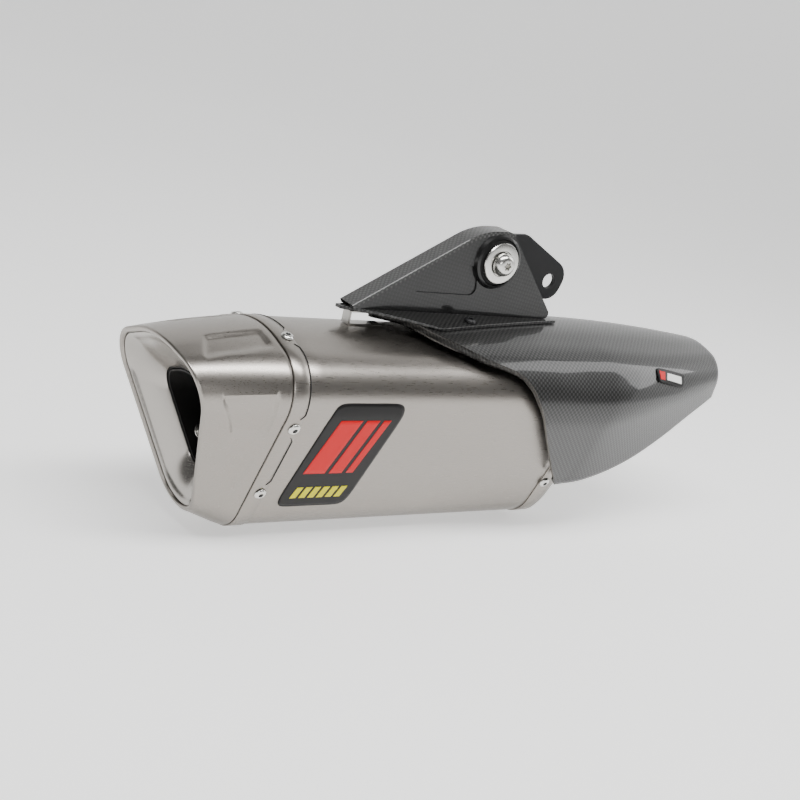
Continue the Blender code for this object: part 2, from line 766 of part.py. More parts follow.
def make_front_cap():
    """The domed front cap, from the sleeve's section down to the round neck."""
    front = SLEEVE_LENGTH
    spigot_outer = section(offset=-WALL - GAP)
    spigot_inner = section(offset=-2 * WALL - GAP)
    neck = circle_like_section(NECK_RADIUS, NECK_CENTRE_Z)
    neck_inner = circle_like_section(NECK_RADIUS - WALL, NECK_CENTRE_Z)
    stations = ((0.0, 1.0, 0.0), (0.004, 0.975, 0.0), (0.012, 0.90, 0.04), (0.024, 0.76, 0.18),
                (0.036, 0.58, 0.55), (0.046, 0.48, 0.97))
    rings = [ring(spigot_outer, front - SPIGOT_LENGTH), ring(spigot_outer, front + GAP)]
    for along, scale, roundness in stations:
        rings.append(ring(blend_points(section((scale, scale)), neck, roundness), front + GAP + along))
    rings.append(ring(neck, NECK_X + NECK_LENGTH))
    rings.append(ring(neck_inner, NECK_X + NECK_LENGTH))
    for along, scale, roundness in reversed(stations[1:]):
        points = blend_points(section((scale, scale), -WALL), neck_inner, roundness)
        rings.append(ring(points, front + GAP + along - WALL * 0.7))
    rings.append(ring(spigot_inner, front + GAP))
    rings.append(ring(spigot_inner, front - SPIGOT_LENGTH))
    return loft("front_cap", rings, TITANIUM)


def pipe_centre(t):
    """Centre of the link pipe, an easy S bend from the neck to the socket."""
    bend = min(1.0, max(0.0, (t - 0.20) / 0.50))
    rise = bend * bend * (3 - 2 * bend)
    return Vector((mix(PIPE_START_X, PIPE_RIM_X, t), 0.0, mix(NECK_CENTRE_Z, SOCKET_CENTRE_Z, rise)))


def make_link_pipe():
    """The link pipe, with the slotted socket that takes the header pipe."""
    curve = bpy.data.curves.new("link_pipe_path", "CURVE")
    curve.dimensions = "3D"
    curve.bevel_depth = PIPE_RADIUS
    curve.bevel_resolution = 5
    curve.use_fill_caps = False
    steps = 10
    spline = curve.splines.new("POLY")
    spline.points.add(steps)
    for index in range(steps + 1):
        spline.points[index].co = (*pipe_centre(index / steps), 1.0)
    source = bpy.data.objects.new("link_pipe_path", curve)
    PARTS.objects.link(source)
    bpy.context.view_layer.update()
    solid = source.evaluated_get(bpy.context.evaluated_depsgraph_get())
    mesh = bpy.data.meshes.new_from_object(solid)
    bpy.data.objects.remove(source, do_unlink=True)
    mesh.materials.clear()
    builder = bmesh.new()
    builder.from_mesh(mesh)
    bmesh.ops.remove_doubles(builder, verts=builder.verts, dist=0.000001)
    for face in builder.faces:
        middle = face.calc_center_median()
        centre = pipe_centre((middle.x - PIPE_START_X) / (PIPE_RIM_X - PIPE_START_X))
        if face.normal.dot(middle - centre) < 0.0:
            face.normal_flip()
    builder.to_mesh(mesh)
    builder.free()
    pipe = smooth(add_object("link_pipe", mesh, TITANIUM))
    add_solidify(pipe, PIPE_WALL)
    reach = PIPE_RADIUS + 0.004
    half = SOCKET_SLOT_WIDTH / 2
    start = PIPE_RIM_X - SOCKET_SLOT_LENGTH
    upright = block("socket_slot_upright", (start, -half, SOCKET_CENTRE_Z - reach),
                    (PIPE_RIM_X + 0.005, half, SOCKET_CENTRE_Z + reach), None)
    level = block("socket_slot_level", (start, -reach, SOCKET_CENTRE_Z - half),
                  (PIPE_RIM_X + 0.005, reach, SOCKET_CENTRE_Z + half), None)
    for cutter in (upright, level):
        PARTS.objects.unlink(cutter)
        CUTTERS.objects.link(cutter)
        add_boolean(pipe, cutter, "DIFFERENCE")
    return pipe


def make_clamp():
    """The band clamp round the socket: the band with its two ears, its bolt and its nut."""
    inner = PIPE_RADIUS + 2 * GAP
    outer = inner + CLAMP_WALL
    half = CLAMP_WIDTH / 2
    band = turned("clamp_band", ((inner, half), (outer, half), (outer, -half), (inner, -half)),
                  (0.0, 0.0, 0.0), (1.0, 0.0, 0.0), STAINLESS, steps=32, closed=True, parent=clamp_axis)
    mouth = CLAMP_MOUTH / 2
    notch = block("clamp_notch", (-half - 0.002, -mouth, -outer - 0.004),
                  (half + 0.002, mouth, -inner + 0.006), None, clamp_axis)
    top = -inner - CLAMP_WALL * 0.4
    reach = -inner - CLAMP_EAR_REACH
    ear_outer = mouth + CLAMP_EAR_WALL
    left = block("clamp_ear_left", (-half, -ear_outer, reach), (half, -mouth, top), None, clamp_axis)
    right = block("clamp_ear_right", (-half, mouth, reach), (half, ear_outer, top), None, clamp_axis)
    bolt_z = -inner - CLAMP_EAR_REACH * 0.62
    drill = cylinder("clamp_drill", CLAMP_BOLT_RADIUS + GAP, (0.0, -0.015, bolt_z), (0.0, 0.015, bolt_z),
                     None, 12, clamp_axis)
    for cutter, operation in ((notch, "DIFFERENCE"), (left, "UNION"), (right, "UNION"),
                              (drill, "DIFFERENCE")):
        PARTS.objects.unlink(cutter)
        CUTTERS.objects.link(cutter)
        add_boolean(band, cutter, operation)
    seat = ear_outer + GAP
    turned("clamp_bolt", (
        (0.0, 0.0022), (0.0022, 0.0022), (0.0022, 0.0050), (0.0046, 0.0050), (0.0050, 0.0045),
        (0.0050, 0.0), (CLAMP_BOLT_RADIUS, 0.0), (CLAMP_BOLT_RADIUS, -0.0190), (0.0, -0.0190),
    ), (0.0, -seat, bolt_z), (0.0, -1.0, 0.0), ZINC, steps=14, parent=clamp_axis)
    hex_nut("clamp_nut", CLAMP_BOLT_RADIUS + GAP, 0.0056, 0.0050, (0.0, seat, bolt_z), (0.0, 1.0, 0.0), ZINC,
            clamp_axis)


# ---- heat shield --------------------------------------------------------------------------------------

def shield_taper(x):
    """0 over the can and 1 at the shield's front edge."""
    return min(1.0, max(0.0, (x - SLEEVE_LENGTH) / (SHIELD_FRONT_X - SLEEVE_LENGTH)))


def along_knots(knots, at):
    """Value at a place on a list of (place, value) knots, eased between them and held past the ends."""
    if at <= knots[0][0]:
        return knots[0][1]
    for index in range(len(knots) - 1):
        a, first = knots[index]
        b, last = knots[index + 1]
        if at <= b:
            before = knots[max(0, index - 1)]
            after = knots[min(len(knots) - 1, index + 2)]
            slope_in = (last - before[1]) / (b - before[0])
            slope_out = (after[1] - first) / (after[0] - a)
            t = (at - a) / (b - a)
            rise = (b - a) * (t * (1 - t) ** 2 * slope_in - t * t * (1 - t) * slope_out)
            return mix(first, last, t * t * (3 - 2 * t)) + rise
    return knots[-1][1]


def shield_sides(x, steps=8):
    """The shield's section at x as two paths of (point, normal) pairs, outer and inner, from the crown."""
    t = shield_taper(x)
    corners = offset_corners(SECTION_CORNERS, SHIELD_OFFSET)
    crown, outer, outer_keel, inner_keel, inner = corners
    front_crown, front_outer, front_inner = SHIELD_FRONT_CORNERS
    reach = 0.140
    shaped = [(mix(crown[0], front_crown[0], t), mix(crown[1], front_crown[1], t ** 2),
               mix(crown[2], front_crown[2], t))]
    for shoulder, keel, front in ((outer, outer_keel, front_outer), (inner, inner_keel, front_inner)):
        side = math.copysign(1.0, shoulder[0])
        lean = abs(shoulder[0] - keel[0]) / (shoulder[1] - keel[1])
        lean = mix(lean, -SHIELD_FRONT_LEAN, t)
        width = mix(shoulder[0], front[0], t ** 1.25)
        height = mix(shoulder[1], front[1], t)
        top = (width, height, mix(shoulder[2], front[2], t))
        low = (width - side * lean * reach, height - reach, 0.002)
        shaped += [top, low] if side < 0 else [low, top]
    outline = fillet_outline(shaped, steps)
    arc = steps + 1
    middle = steps // 2
    outer_path = outline[middle:3 * arc]
    inner_path = outline[middle::-1] + outline[:3 * arc - 1:-1]
    return outer_path, inner_path


def shield_point(x, distance):
    """Point and normal on the shield's skin at x, at a distance from the crown.

    A positive distance goes down the outer side, a negative one down the inner side.
    """
    outer_path, inner_path = shield_sides(x)
    path = outer_path if distance >= 0.0 else inner_path
    left = abs(distance)
    for (here, normal), (there, next_normal) in zip(path, path[1:]):
        length = (there - here).length
        if 0.0 < length and left <= length:
            t = left / length
            return here.lerp(there, t), normal.lerp(next_normal, t).normalized()
        left -= length
    return path[-1]


def shield_depth(x):
    """Distance along the skin from the crown to the outer lower edge at x."""
    goal = along_knots(SHIELD_LOW_EDGE, x)
    low = 0.0
    high = 0.260
    for _ in range(30):
        middle = (low + high) / 2
        if shield_point(x, middle)[0].y > goal:
            low = middle
        else:
            high = middle
    return low


def make_shield():
    """The carbon heat shield with its turned-in rear rim."""
    columns = 22
    rows = 12
    rear_depth = shield_depth(SHIELD_REAR_EDGE[-1][1])
    grid = []
    for row in range(-1, rows + 1):
        line = []
        for column in range(columns + 1):
            share = column / columns
            rear_distance = mix(-SHIELD_FAR_REACH, rear_depth, share)
            x_rear = along_knots(SHIELD_REAR_EDGE, rear_distance)
            x = mix(x_rear, SHIELD_FRONT_X, max(0, row) / rows)
            shrink = shield_depth(x) / rear_depth
            far = SHIELD_FAR_REACH * mix(1.0, 0.70, shield_taper(x))
            distance = mix(-far, rear_depth * shrink, share)
            point, normal = shield_point(x, distance)
            if row < 0:
                point = point - normal * SHIELD_RIM
                x += 0.0012
            line.append(Vector((x, point.x, point.y)))
        grid.append(line)
    shield = loft("heat_shield", grid, CARBON, closed_around=False, closed_along=False)
    face_outwards(shield, Vector((0.300, 0.0, 0.0)))
    add_solidify(shield, SHIELD_WALL)
    return shield


def face_outwards(item, centre):
    """Flip an open sheet so that most of it faces away from a point."""
    builder = bmesh.new()
    builder.from_mesh(item.data)
    vote = 0
    for face in builder.faces:
        away = face.calc_center_median() - centre
        away.x = 0.0
        vote += 1 if face.normal.dot(away) > 0.0 else -1
    if vote < 0:
        bmesh.ops.reverse_faces(builder, faces=builder.faces)
    builder.to_mesh(item.data)
    builder.free()


def make_shield_stay():
    """The strap, bonded boss and screw that hold the shield's front end over the link pipe."""
    foot_z = SOCKET_CENTRE_Z + PIPE_RADIUS + GAP
    wall = 0.0015
    top_z = foot_z + 0.0110
    outline = (
        (0.4180, foot_z), (0.4180, foot_z + wall), (0.4045, foot_z + wall), (0.4045, top_z + wall),
        (0.3860, top_z + wall), (0.3860, top_z), (0.4030, top_z), (0.4030, foot_z),
    )
    stay = flat_curve("shield_stay", [outline], 0.0, 0.016, STAINLESS)
    hole_x = 0.3940
    drill = cylinder("stay_drill", 0.0028, (hole_x, 0.0, top_z - 0.004), (hole_x, 0.0, top_z + 0.004),
                     None, 12)
    PARTS.objects.unlink(drill)
    CUTTERS.objects.link(drill)
    add_boolean(stay, drill, "DIFFERENCE")
    seat = top_z + wall + GAP
    roof = shield_point(hole_x, 0.0)[0].y - SHIELD_WALL - 0.0022
    turned("shield_boss", (
        (0.0, roof - seat), (0.0080, roof - seat), (0.0080, 0.0), (0.0028, 0.0), (0.0028, 0.0045),
        (0.0, 0.0045),
    ), (hole_x, 0.0, seat), (0.0, 0.0, 1.0), RUBBER, steps=16)
    turned("shield_screw", (
        (0.0, 0.0010), (0.0020, 0.0010), (0.0020, 0.0030), (0.0040, 0.0030), (0.0045, 0.0022),
        (0.0045, 0.0), (0.0024, 0.0), (0.0024, -0.0055), (0.0, -0.0055),
    ), (hole_x, 0.0, top_z - GAP), (0.0, 0.0, -1.0), ZINC, steps=12)


# ---- hanger bracket and its bush ----------------------------------------------------------------------

def roof_z(y, offset):
    """Height of the can's roof at y, raised by an offset."""
    best = None
    points = [p + n * offset for p, n in CAN_OUTLINE if p.y > 0.03]
    points.sort(key=lambda p: p.x)
    for here, there in zip(points, points[1:]):
        if here.x <= y <= there.x and there.x > here.x:
            best = mix(here.y, there.y, (y - here.x) / (there.x - here.x))
    return best


def base_edge_y(x, wide_y):
    """y of the bracket base's edge at x, on the side where it is widest at wide_y."""
    tip = math.copysign(0.0035, wide_y)
    front = FIN_Y - 0.004 if wide_y < 0 else 0.010
    if x < BASE_WIDE_X:
        return mix(tip, wide_y, (x - BASE_TIP_X) / (BASE_WIDE_X - BASE_TIP_X))
    return mix(wide_y, front, (x - BASE_WIDE_X) / (BASE_FRONT_X - BASE_WIDE_X))


def make_bracket_base():
    """The bracket's foot, a saddle plate that lies over the shield's roof."""
    columns = 8
    stations = [BASE_TIP_X, 0.090, 0.114, BASE_WIDE_X, 0.170, 0.205, 0.240, BASE_FRONT_X]
    grid = []
    for x in stations:
        near = base_edge_y(x, BASE_NEAR_Y)
        far = base_edge_y(x, BASE_FAR_Y)
        line = []
        for column in range(columns + 1):
            y = mix(near, far, column / columns)
            line.append(Vector((x, y, roof_z(y, BASE_OFFSET))))
        grid.append(line)
    base = loft("bracket_base", grid, None, closed_around=False, closed_along=False)
    face_outwards(base, Vector((0.0, 0.0, 0.0)))
    add_solidify(base, BASE_WALL)
    return base


def fin_flange_outline():
    """The strip along the web's upper edge, in the XZ plane."""
    full = fillet_outline(FIN_CORNERS, 6)
    upper = [pair for pair in full if pair[1].y > 0.8 and pair[0].x < 0.2125]
    outer = [point + normal * 0.0004 for point, normal in upper]
    inner = [point - normal * FIN_WALL for point, normal in upper]
    return [tuple(point) for point in outer + inner[::-1]]


def make_bracket(base):
    """The carbon hanger bracket: web, upper flange, foot and the boss for the bush."""
    web_outline = [tuple(point) for point, _ in fillet_outline(FIN_CORNERS, 6)]
    bracket = flat_curve("hanger_bracket", [web_outline], FIN_Y, FIN_WALL, CARBON)
    flange_width = FIN_FLANGE_Y - (FIN_Y - FIN_WALL / 2) + 0.0006
    flange_y = FIN_FLANGE_Y - flange_width / 2
    flange = flat_curve("bracket_flange", [fin_flange_outline()], flange_y, flange_width, None)
    boss_low = FIN_Y - FIN_WALL / 2 - 0.0030
    boss = cylinder("bracket_boss", BOSS_RADIUS, (HANGER_X, boss_low, HANGER_Z),
                    (HANGER_X, FIN_FLANGE_Y - 0.0008, HANGER_Z), None, 32)
    bore = cylinder("bracket_bore", BUSH_RADIUS + GAP, (HANGER_X, -0.030, HANGER_Z),
                    (HANGER_X, 0.030, HANGER_Z), None, 32)
    for cutter, operation in ((base, "UNION"), (flange, "UNION"), (boss, "UNION"), (bore, "DIFFERENCE")):
        PARTS.objects.unlink(cutter)
        CUTTERS.objects.link(cutter)
        add_boolean(bracket, cutter, operation)
    return bracket


def make_bush_stack():
    """Rubber bush, steel collar, washer, bolt and nut at the hanger."""
    outward = (0.0, -1.0, 0.0)
    rubber_near = 0.0125
    rubber_far = -0.0080
    turned("rubber_bush", (
        (BUSH_BORE, rubber_near), (BUSH_RADIUS - 0.001, rubber_near), (BUSH_RADIUS, rubber_near - 0.001),
        (BUSH_RADIUS, rubber_far), (BUSH_BORE, rubber_far),
    ), (HANGER_X, 0.0, HANGER_Z), outward, RUBBER, steps=28, closed=True)
    collar_near = 0.0132
    collar_far = -PLATE_Y + GAP
    turned("bush_collar", (
        (COLLAR_BORE, collar_near), (COLLAR_RADIUS, collar_near), (COLLAR_RADIUS, collar_far),
        (COLLAR_BORE, collar_far),
    ), (HANGER_X, 0.0, HANGER_Z), outward, ZINC, steps=24, closed=True)
    washer_back = collar_near + GAP
    washer_front = washer_back + 0.0024
    turned("hanger_washer", (
        (COLLAR_BORE, washer_front), (HANGER_WASHER_RADIUS - 0.0012, washer_front),
        (HANGER_WASHER_RADIUS, washer_front - 0.0009), (HANGER_WASHER_RADIUS, washer_back),
        (COLLAR_BORE, washer_back),
    ), (HANGER_X, 0.0, HANGER_Z), outward, ZINC, steps=32, closed=True)
    head = washer_front + GAP
    tail = -PLATE_Y - PLATE_WALL - 0.0110
    turned("mount_bolt", (
        (0.0, head + 0.0025), (0.0033, head + 0.0025), (0.0033, head + 0.0068), (0.0052, head + 0.0068),
        (0.0076, head + 0.0052), (MOUNT_HEAD_RADIUS, head + 0.0015), (MOUNT_HEAD_RADIUS, head),
        (MOUNT_BOLT_RADIUS, head), (MOUNT_BOLT_RADIUS, tail), (0.0, tail),
    ), (HANGER_X, 0.0, HANGER_Z), outward, ZINC, steps=20)
    nut_y = PLATE_Y + PLATE_WALL + GAP
    hex_nut("mount_nut", MOUNT_BOLT_RADIUS + GAP, 0.0092, 0.0088, (HANGER_X, nut_y, HANGER_Z),
            (0.0, 1.0, 0.0), ZINC)


def make_hanger_plate():
    """The black steel plate that the bolt clamps, with the eye for the motorcycle's own bolt."""
    outline = [tuple(point) for point, _ in fillet_outline(PLATE_CORNERS, 5)]
    eye = circle_points(PLATE_EYE_X, PLATE_EYE_Z, PLATE_EYE_RADIUS, 20)
    bolt_hole = circle_points(HANGER_X, HANGER_Z, MOUNT_BOLT_RADIUS + GAP, 20)
    flat_curve("hanger_plate", [outline, eye, bolt_hole], PLATE_Y + PLATE_WALL / 2, PLATE_WALL,
               BLACK_STEEL, plate_axis, (HANGER_X, HANGER_Z))


def make_saddle():
    """The steel saddle welded to the can's roof, which carries the bracket's foot."""
    wall = 0.0015
    foot = 3 * GAP
    top = SHIELD_OFFSET - SHIELD_WALL - GAP - wall
    low, high = SADDLE_X
    grid = []
    for offset, x in ((foot, low), (foot, low + 0.012), (top, low + 0.014), (top, high - 0.014),
                      (foot, high - 0.012), (foot, high)):
        line = []
        for column in range(7):
            y = mix(-SADDLE_REACH, SADDLE_REACH, column / 6)
            line.append(Vector((x, y, roof_z(y, offset) + wall)))
        grid.append(line)
    saddle = loft("hanger_saddle", grid, STAINLESS, closed_around=False, closed_along=False)
    face_outwards(saddle, Vector((0.0, 0.0, 0.0)))
    add_solidify(saddle, wall)
    return saddle


def make_bracket_screws(pieces):
    """The screws that hold the foot and the shield's roof down on the saddle."""
    drills = []
    for number, (x, y) in enumerate(SCREW_PLACES, start=1):
        z = roof_z(y, BASE_OFFSET)
        slope = (roof_z(y + 0.004, BASE_OFFSET) - roof_z(y - 0.004, BASE_OFFSET)) / 0.008
        normal = Vector((0.0, -slope, 1.0)).normalized()
        place = Vector((x, y, z)) + normal * 0.0006
        turned("bracket_screw_%d" % number, (
            (0.0, 0.0010), (0.0018, 0.0010), (0.0018, 0.0026), (0.0030, 0.0026), (0.0046, 0.0014),
            (0.0050, 0.0), (0.0024, 0.0), (0.0024, -0.0100), (0.0, -0.0100),
        ), place, normal, ZINC, steps=12)
        drills.append((place + normal * 0.003, place - normal * 0.0125))
    cutter = join_drills("bracket_screw_drills", drills, 0.0029, sides=10)
    for piece in pieces:
        add_boolean(piece, cutter, "DIFFERENCE")


def make_tip_clip():
    """The bright bent tab welded to the sleeve, which holds the tip of the bracket."""
    wall = 0.0012
    half = 0.005
    floor_z = roof_z(-0.002, 0.0) + GAP
    top_z = min(roof_z(side, BASE_OFFSET - BASE_WALL) for side in (-half, half)) - GAP
    outline = (
        (0.075, floor_z), (0.106, floor_z), (0.106, floor_z + wall), (0.0765, floor_z + wall),
        (0.0765, top_z - wall), (0.088, top_z - wall), (0.088, top_z), (0.075, top_z),
    )
    flat_curve("tip_clip", [outline], 0.0, 2 * half, STAINLESS)


# ---- label and badge ----------------------------------------------------------------------------------

def make_label():
    """The printed label on the sleeve's outer side, leaning forward at the top."""
    grid = []
    for distance in walk_stations(CAN_OUTLINE, *LABEL_WALKS):
        share = (distance - LABEL_WALKS[0]) / (LABEL_WALKS[1] - LABEL_WALKS[0])
        point, normal = walk_outline(CAN_OUTLINE, distance)
        skin = point + normal * (2 * GAP + 0.0004)
        low = LABEL_X + LABEL_LEAN * share
        grid.append([Vector((low + LABEL_LENGTH * k / 2, skin.x, skin.y)) for k in range(3)])
    label = loft("side_label", grid, PRINT, closed_around=False, closed_along=False)
    face_outwards(label, Vector((0.0, 0.0, 0.0)))
    add_solidify(label, 0.0004)
    return label


def make_badge():
    """The small badge on the shield's outer shoulder."""
    rows = 4
    grid = []
    for row in range(rows + 1):
        line = []
        for column in range(rows + 1):
            x = mix(*BADGE_X, column / rows)
            point, normal = shield_point(x, mix(*BADGE_WALKS, row / rows))
            skin = point + normal * (2 * GAP + 0.0006)
            line.append(Vector((x, skin.x, skin.y)))
        grid.append(line)
    badge = loft("shield_badge", grid, PRINT, closed_around=False, closed_along=False)
    face_outwards(badge, Vector((0.0, 0.0, 0.0)))
    add_solidify(badge, 0.0005)
    return badge


# ---- the whole silencer -------------------------------------------------------------------------------

def main():
    """Build every piece in the order that it goes together."""
    sleeve = make_sleeve()
    end_cap = make_end_cap()
    front_cap = make_front_cap()
    rear_band = make_band("rear_band", 0.0, BAND_WIDTH)
    front_band = make_band("front_band", SLEEVE_LENGTH - BAND_WIDTH, SLEEVE_LENGTH)
    make_rivets("rear", RIVET_INSET, (sleeve, rear_band, end_cap))
    make_rivets("front", SLEEVE_LENGTH - RIVET_INSET, (sleeve, front_band, front_cap))

    make_dish()
    duct = make_outlet_duct()
    insert = make_noise_insert()
    make_damper_screw(duct, insert)

    make_core()
    make_wool()
    make_baffle("rear_baffle", BAFFLE_INSET, DUCT_RADIUS + GAP)
    make_baffle("front_baffle", SLEEVE_LENGTH - BAFFLE_INSET - WALL, CORE_RADIUS + 3 * GAP)

    make_link_pipe()
    make_clamp()

    shield = make_shield()
    make_shield_stay()
    saddle = make_saddle()
    base = make_bracket_base()
    make_bracket_screws((base, shield, saddle))
    make_bracket(base)
    make_tip_clip()
    make_bush_stack()
    make_hanger_plate()

    make_label()
    make_badge()


main()
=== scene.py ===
"""Looks of the racing silencer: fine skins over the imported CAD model, materials, stage, lights, camera.

The fine pieces follow the same outlines as the CAD parts. The shapes are drawn in the can's own frame,
with its origin on the can's axis at the seam between end cap and sleeve, and SHIFT moves them into the
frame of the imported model, whose origin is the middle of the hanger bush. Lengths are in metres.
"""

import math

import bmesh
import bpy
import numpy as np
from mathutils import Matrix, Vector


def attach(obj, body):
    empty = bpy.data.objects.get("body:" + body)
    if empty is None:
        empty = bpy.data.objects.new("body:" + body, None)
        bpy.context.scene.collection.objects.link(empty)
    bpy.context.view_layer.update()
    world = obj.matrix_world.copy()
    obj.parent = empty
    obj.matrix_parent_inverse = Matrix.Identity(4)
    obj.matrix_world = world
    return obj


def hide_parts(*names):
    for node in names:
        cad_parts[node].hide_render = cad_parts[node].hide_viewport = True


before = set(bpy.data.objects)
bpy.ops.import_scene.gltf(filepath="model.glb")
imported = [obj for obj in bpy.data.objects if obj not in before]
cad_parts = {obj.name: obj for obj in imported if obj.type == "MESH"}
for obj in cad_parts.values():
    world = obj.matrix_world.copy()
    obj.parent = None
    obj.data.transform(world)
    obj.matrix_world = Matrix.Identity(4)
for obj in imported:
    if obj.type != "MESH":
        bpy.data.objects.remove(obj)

bl_info = {
    "name": "Racing Silencer Looks",
    "version": (1, 0, 0),
    "blender": (4, 5, 0),
    "location": "View3D > Sidebar > Silencer",
    "description": "Dresses a packed slip-on silencer in titanium, carbon and steel",
    "category": "Object",
}

# ---- dimensions shared with the CAD part --------------------------------------------------------------

HANGER_X = 0.197
HANGER_Z = 0.1345
SHIFT = Vector((-HANGER_X, 0.0, -HANGER_Z))

GAP = 0.0003
WALL = 0.0012
SLEEVE_LENGTH = 0.290
SECTION_CORNERS = (
    (-0.0020, 0.0810, 0.100),
    (-0.0810, 0.0600, 0.0315),
    (-0.0205, -0.0827, 0.032),
    (0.0225, -0.0827, 0.032),
    (0.0795, 0.0505, 0.031),
)
FULL = (1.0, 1.0)

BAND_WIDTH = 0.0130
BAND_WALL = 0.0008
RIVET_INSET = 0.0088
RIVET_WALKS = (-0.0025, 0.060, 0.126, 0.204, -0.190, -0.127, -0.065)

LIP_TOP_X = -0.0764
LIP_TOP_Z = 0.066
LIP_RAKE = 0.341
LIP_YAW = 0.103
LIP_SCALE = (0.836, 0.859)
LIP_RADIUS = 0.0022
DISH_DEPTH = 0.018
MOUTH_SCALE = (0.47, 0.49)
DUCT_END_X = 0.020
DUCT_RADIUS = 0.030
DUCT_CENTRE_Z = 0.003
NECK_RADIUS = 0.0326
NECK_CENTRE_Z = 0.004
NECK_END_X = 0.352
INSERT_GAP = 0.0009
INSERT_NECK_RADIUS = 0.020

SHIELD_OFFSET = 0.0115
SHIELD_WALL = 0.0015
SHIELD_RIM = 0.0065
SHIELD_FRONT_X = 0.449
SHIELD_FRONT_CORNERS = ((0.0, 0.0815, 0.060), (-0.047, 0.068, 0.024), (0.047, 0.062, 0.024))
SHIELD_FRONT_LEAN = -0.10
SHIELD_LOW_EDGE = ((0.278, -0.0395), (0.310, -0.034), (0.350, -0.018), (0.388, 0.005), (0.415, 0.0215),
                   (0.449, 0.037))
SHIELD_FAR_REACH = 0.072
SHIELD_REAR_EDGE = ((-0.072, 0.168), (-0.030, 0.122), (-0.008, 0.098), (0.010, 0.113), (0.040, 0.133),
                    (0.064, 0.164), (0.075, 0.192), (0.085, 0.204), (0.100, 0.2145), (0.133, 0.238),
                    (0.186, 0.280))

FIN_Y = -0.008
FIN_WALL = 0.0025
FIN_FLANGE_Y = 0.008
BASE_OFFSET = 0.0143
BASE_WALL = 0.0024
BASE_TIP_X = 0.066
BASE_WIDE_X = 0.138
BASE_FRONT_X = 0.271
BASE_NEAR_Y = -0.037
BASE_FAR_Y = 0.030
FIN_CORNERS = (
    (0.0700, 0.0905, 0.0008),
    (0.1780, 0.1569, 0.060),
    (0.2070, 0.1580, 0.012),
    (0.2690, 0.0905, 0.004),
)
POCKET_CORNERS = (
    (0.1160, 0.1060, 0.004),
    (0.1560, 0.1350, 0.010),
    (0.1800, 0.1280, 0.012),
    (0.1840, 0.1060, 0.006),
)
BOSS_RADIUS = 0.0212
BOSS_RISE = 0.0030
BOSS_BACK = -0.0072
BUSH_RADIUS = 0.0184
BUSH_BORE = 0.0084
COLLAR_BORE = 0.0053
COLLAR_RADIUS = 0.0081
HANGER_WASHER_RADIUS = 0.0163
MOUNT_BOLT_RADIUS = 0.0050

LABEL_X = 0.0270
LABEL_LENGTH = 0.0615
LABEL_LEAN = 0.0085
LABEL_WALKS = (0.0435, 0.148)
BADGE_X = (0.347, 0.385)
BADGE_WALKS = (0.0645, 0.0765)

# Pressed panels of the end cap, as corners of (share of the way to the lip, distance along the skin).
CAP_PANELS = (
    (((0.65, 0.212), (0.10, 0.214), (0.10, 0.194), (0.80, 0.188)), 0.0020),
    (((0.80, 0.152), (0.175, 0.152), (0.175, 0.118), (0.625, 0.116)), 0.0028),
    (((0.65, 0.098), (0.175, 0.094), (0.325, 0.060)), 0.0014),
)

# ---- colours ------------------------------------------------------------------------------------------


def linear(code):
    """Linear RGBA from an sRGB hex code such as #808080."""
    values = [int(code[i:i + 2], 16) / 255 for i in (1, 3, 5)]
    return (*[v / 12.92 if v <= 0.04045 else ((v + 0.055) / 1.055) ** 2.4 for v in values], 1.0)


# ---- outlines and skins -------------------------------------------------------------------------------


def mix(a, b, t):
    """Linear blend."""
    return a + (b - a) * t


def mix_pair(a, b, t):
    """Linear blend of two pairs."""
    return mix(a[0], b[0], t), mix(a[1], b[1], t)


def fillet_outline(corners, steps):
    """Closed outline with rounded corners, as (point, outward normal) pairs."""
    outline = []
    count = len(corners)
    for index in range(count):
        corner = Vector(corners[index][:2])
        radius = corners[index][2]
        back = (Vector(corners[index - 1][:2]) - corner).normalized()
        ahead = (Vector(corners[(index + 1) % count][:2]) - corner).normalized()
        half = math.acos(max(-1.0, min(1.0, back.dot(ahead)))) / 2
        centre = corner + (back + ahead).normalized() * radius / math.sin(half)
        first = corner + back * radius / math.tan(half) - centre
        last = corner + ahead * radius / math.tan(half) - centre
        start = math.atan2(first.y, first.x)
        turn = (math.atan2(last.y, last.x) - start + math.pi) % (2 * math.pi) - math.pi
        for step in range(steps + 1):
            angle = start + turn * step / steps
            normal = Vector((math.cos(angle), math.sin(angle)))
            outline.append((centre + normal * radius, normal))
    return outline


def offset_corners(corners, offset):
    """The same rounded outline pushed outwards by an offset."""
    moved = []
    for index, (y, z, radius) in enumerate(corners):
        corner = Vector((y, z))
        before = (corner - Vector(corners[index - 1][:2])).normalized()
        after = (Vector(corners[(index + 1) % len(corners)][:2]) - corner).normalized()
        first = Vector((-before.y, before.x))
        second = Vector((-after.y, after.x))
        first = -first if first.dot(corner) < 0.0 else first
        second = -second if second.dot(corner) < 0.0 else second
        place = corner + (first + second) * offset / (1.0 + first.dot(second))
        moved.append((place.x, place.y, radius + offset))
    return moved


def divide_flats(outline, longest):
    """Add points along the flats."""
    divided = []
    for index, (point, normal) in enumerate(outline):
        following, next_normal = outline[(index + 1) % len(outline)]
        pieces = max(1, math.ceil((following - point).length / longest))
        for piece in range(pieces):
            share = piece / pieces
            divided.append((point.lerp(following, share), normal.lerp(next_normal, share).normalized()))
    return divided


CAN_OUTLINE = divide_flats(fillet_outline(SECTION_CORNERS, 14), 0.004)


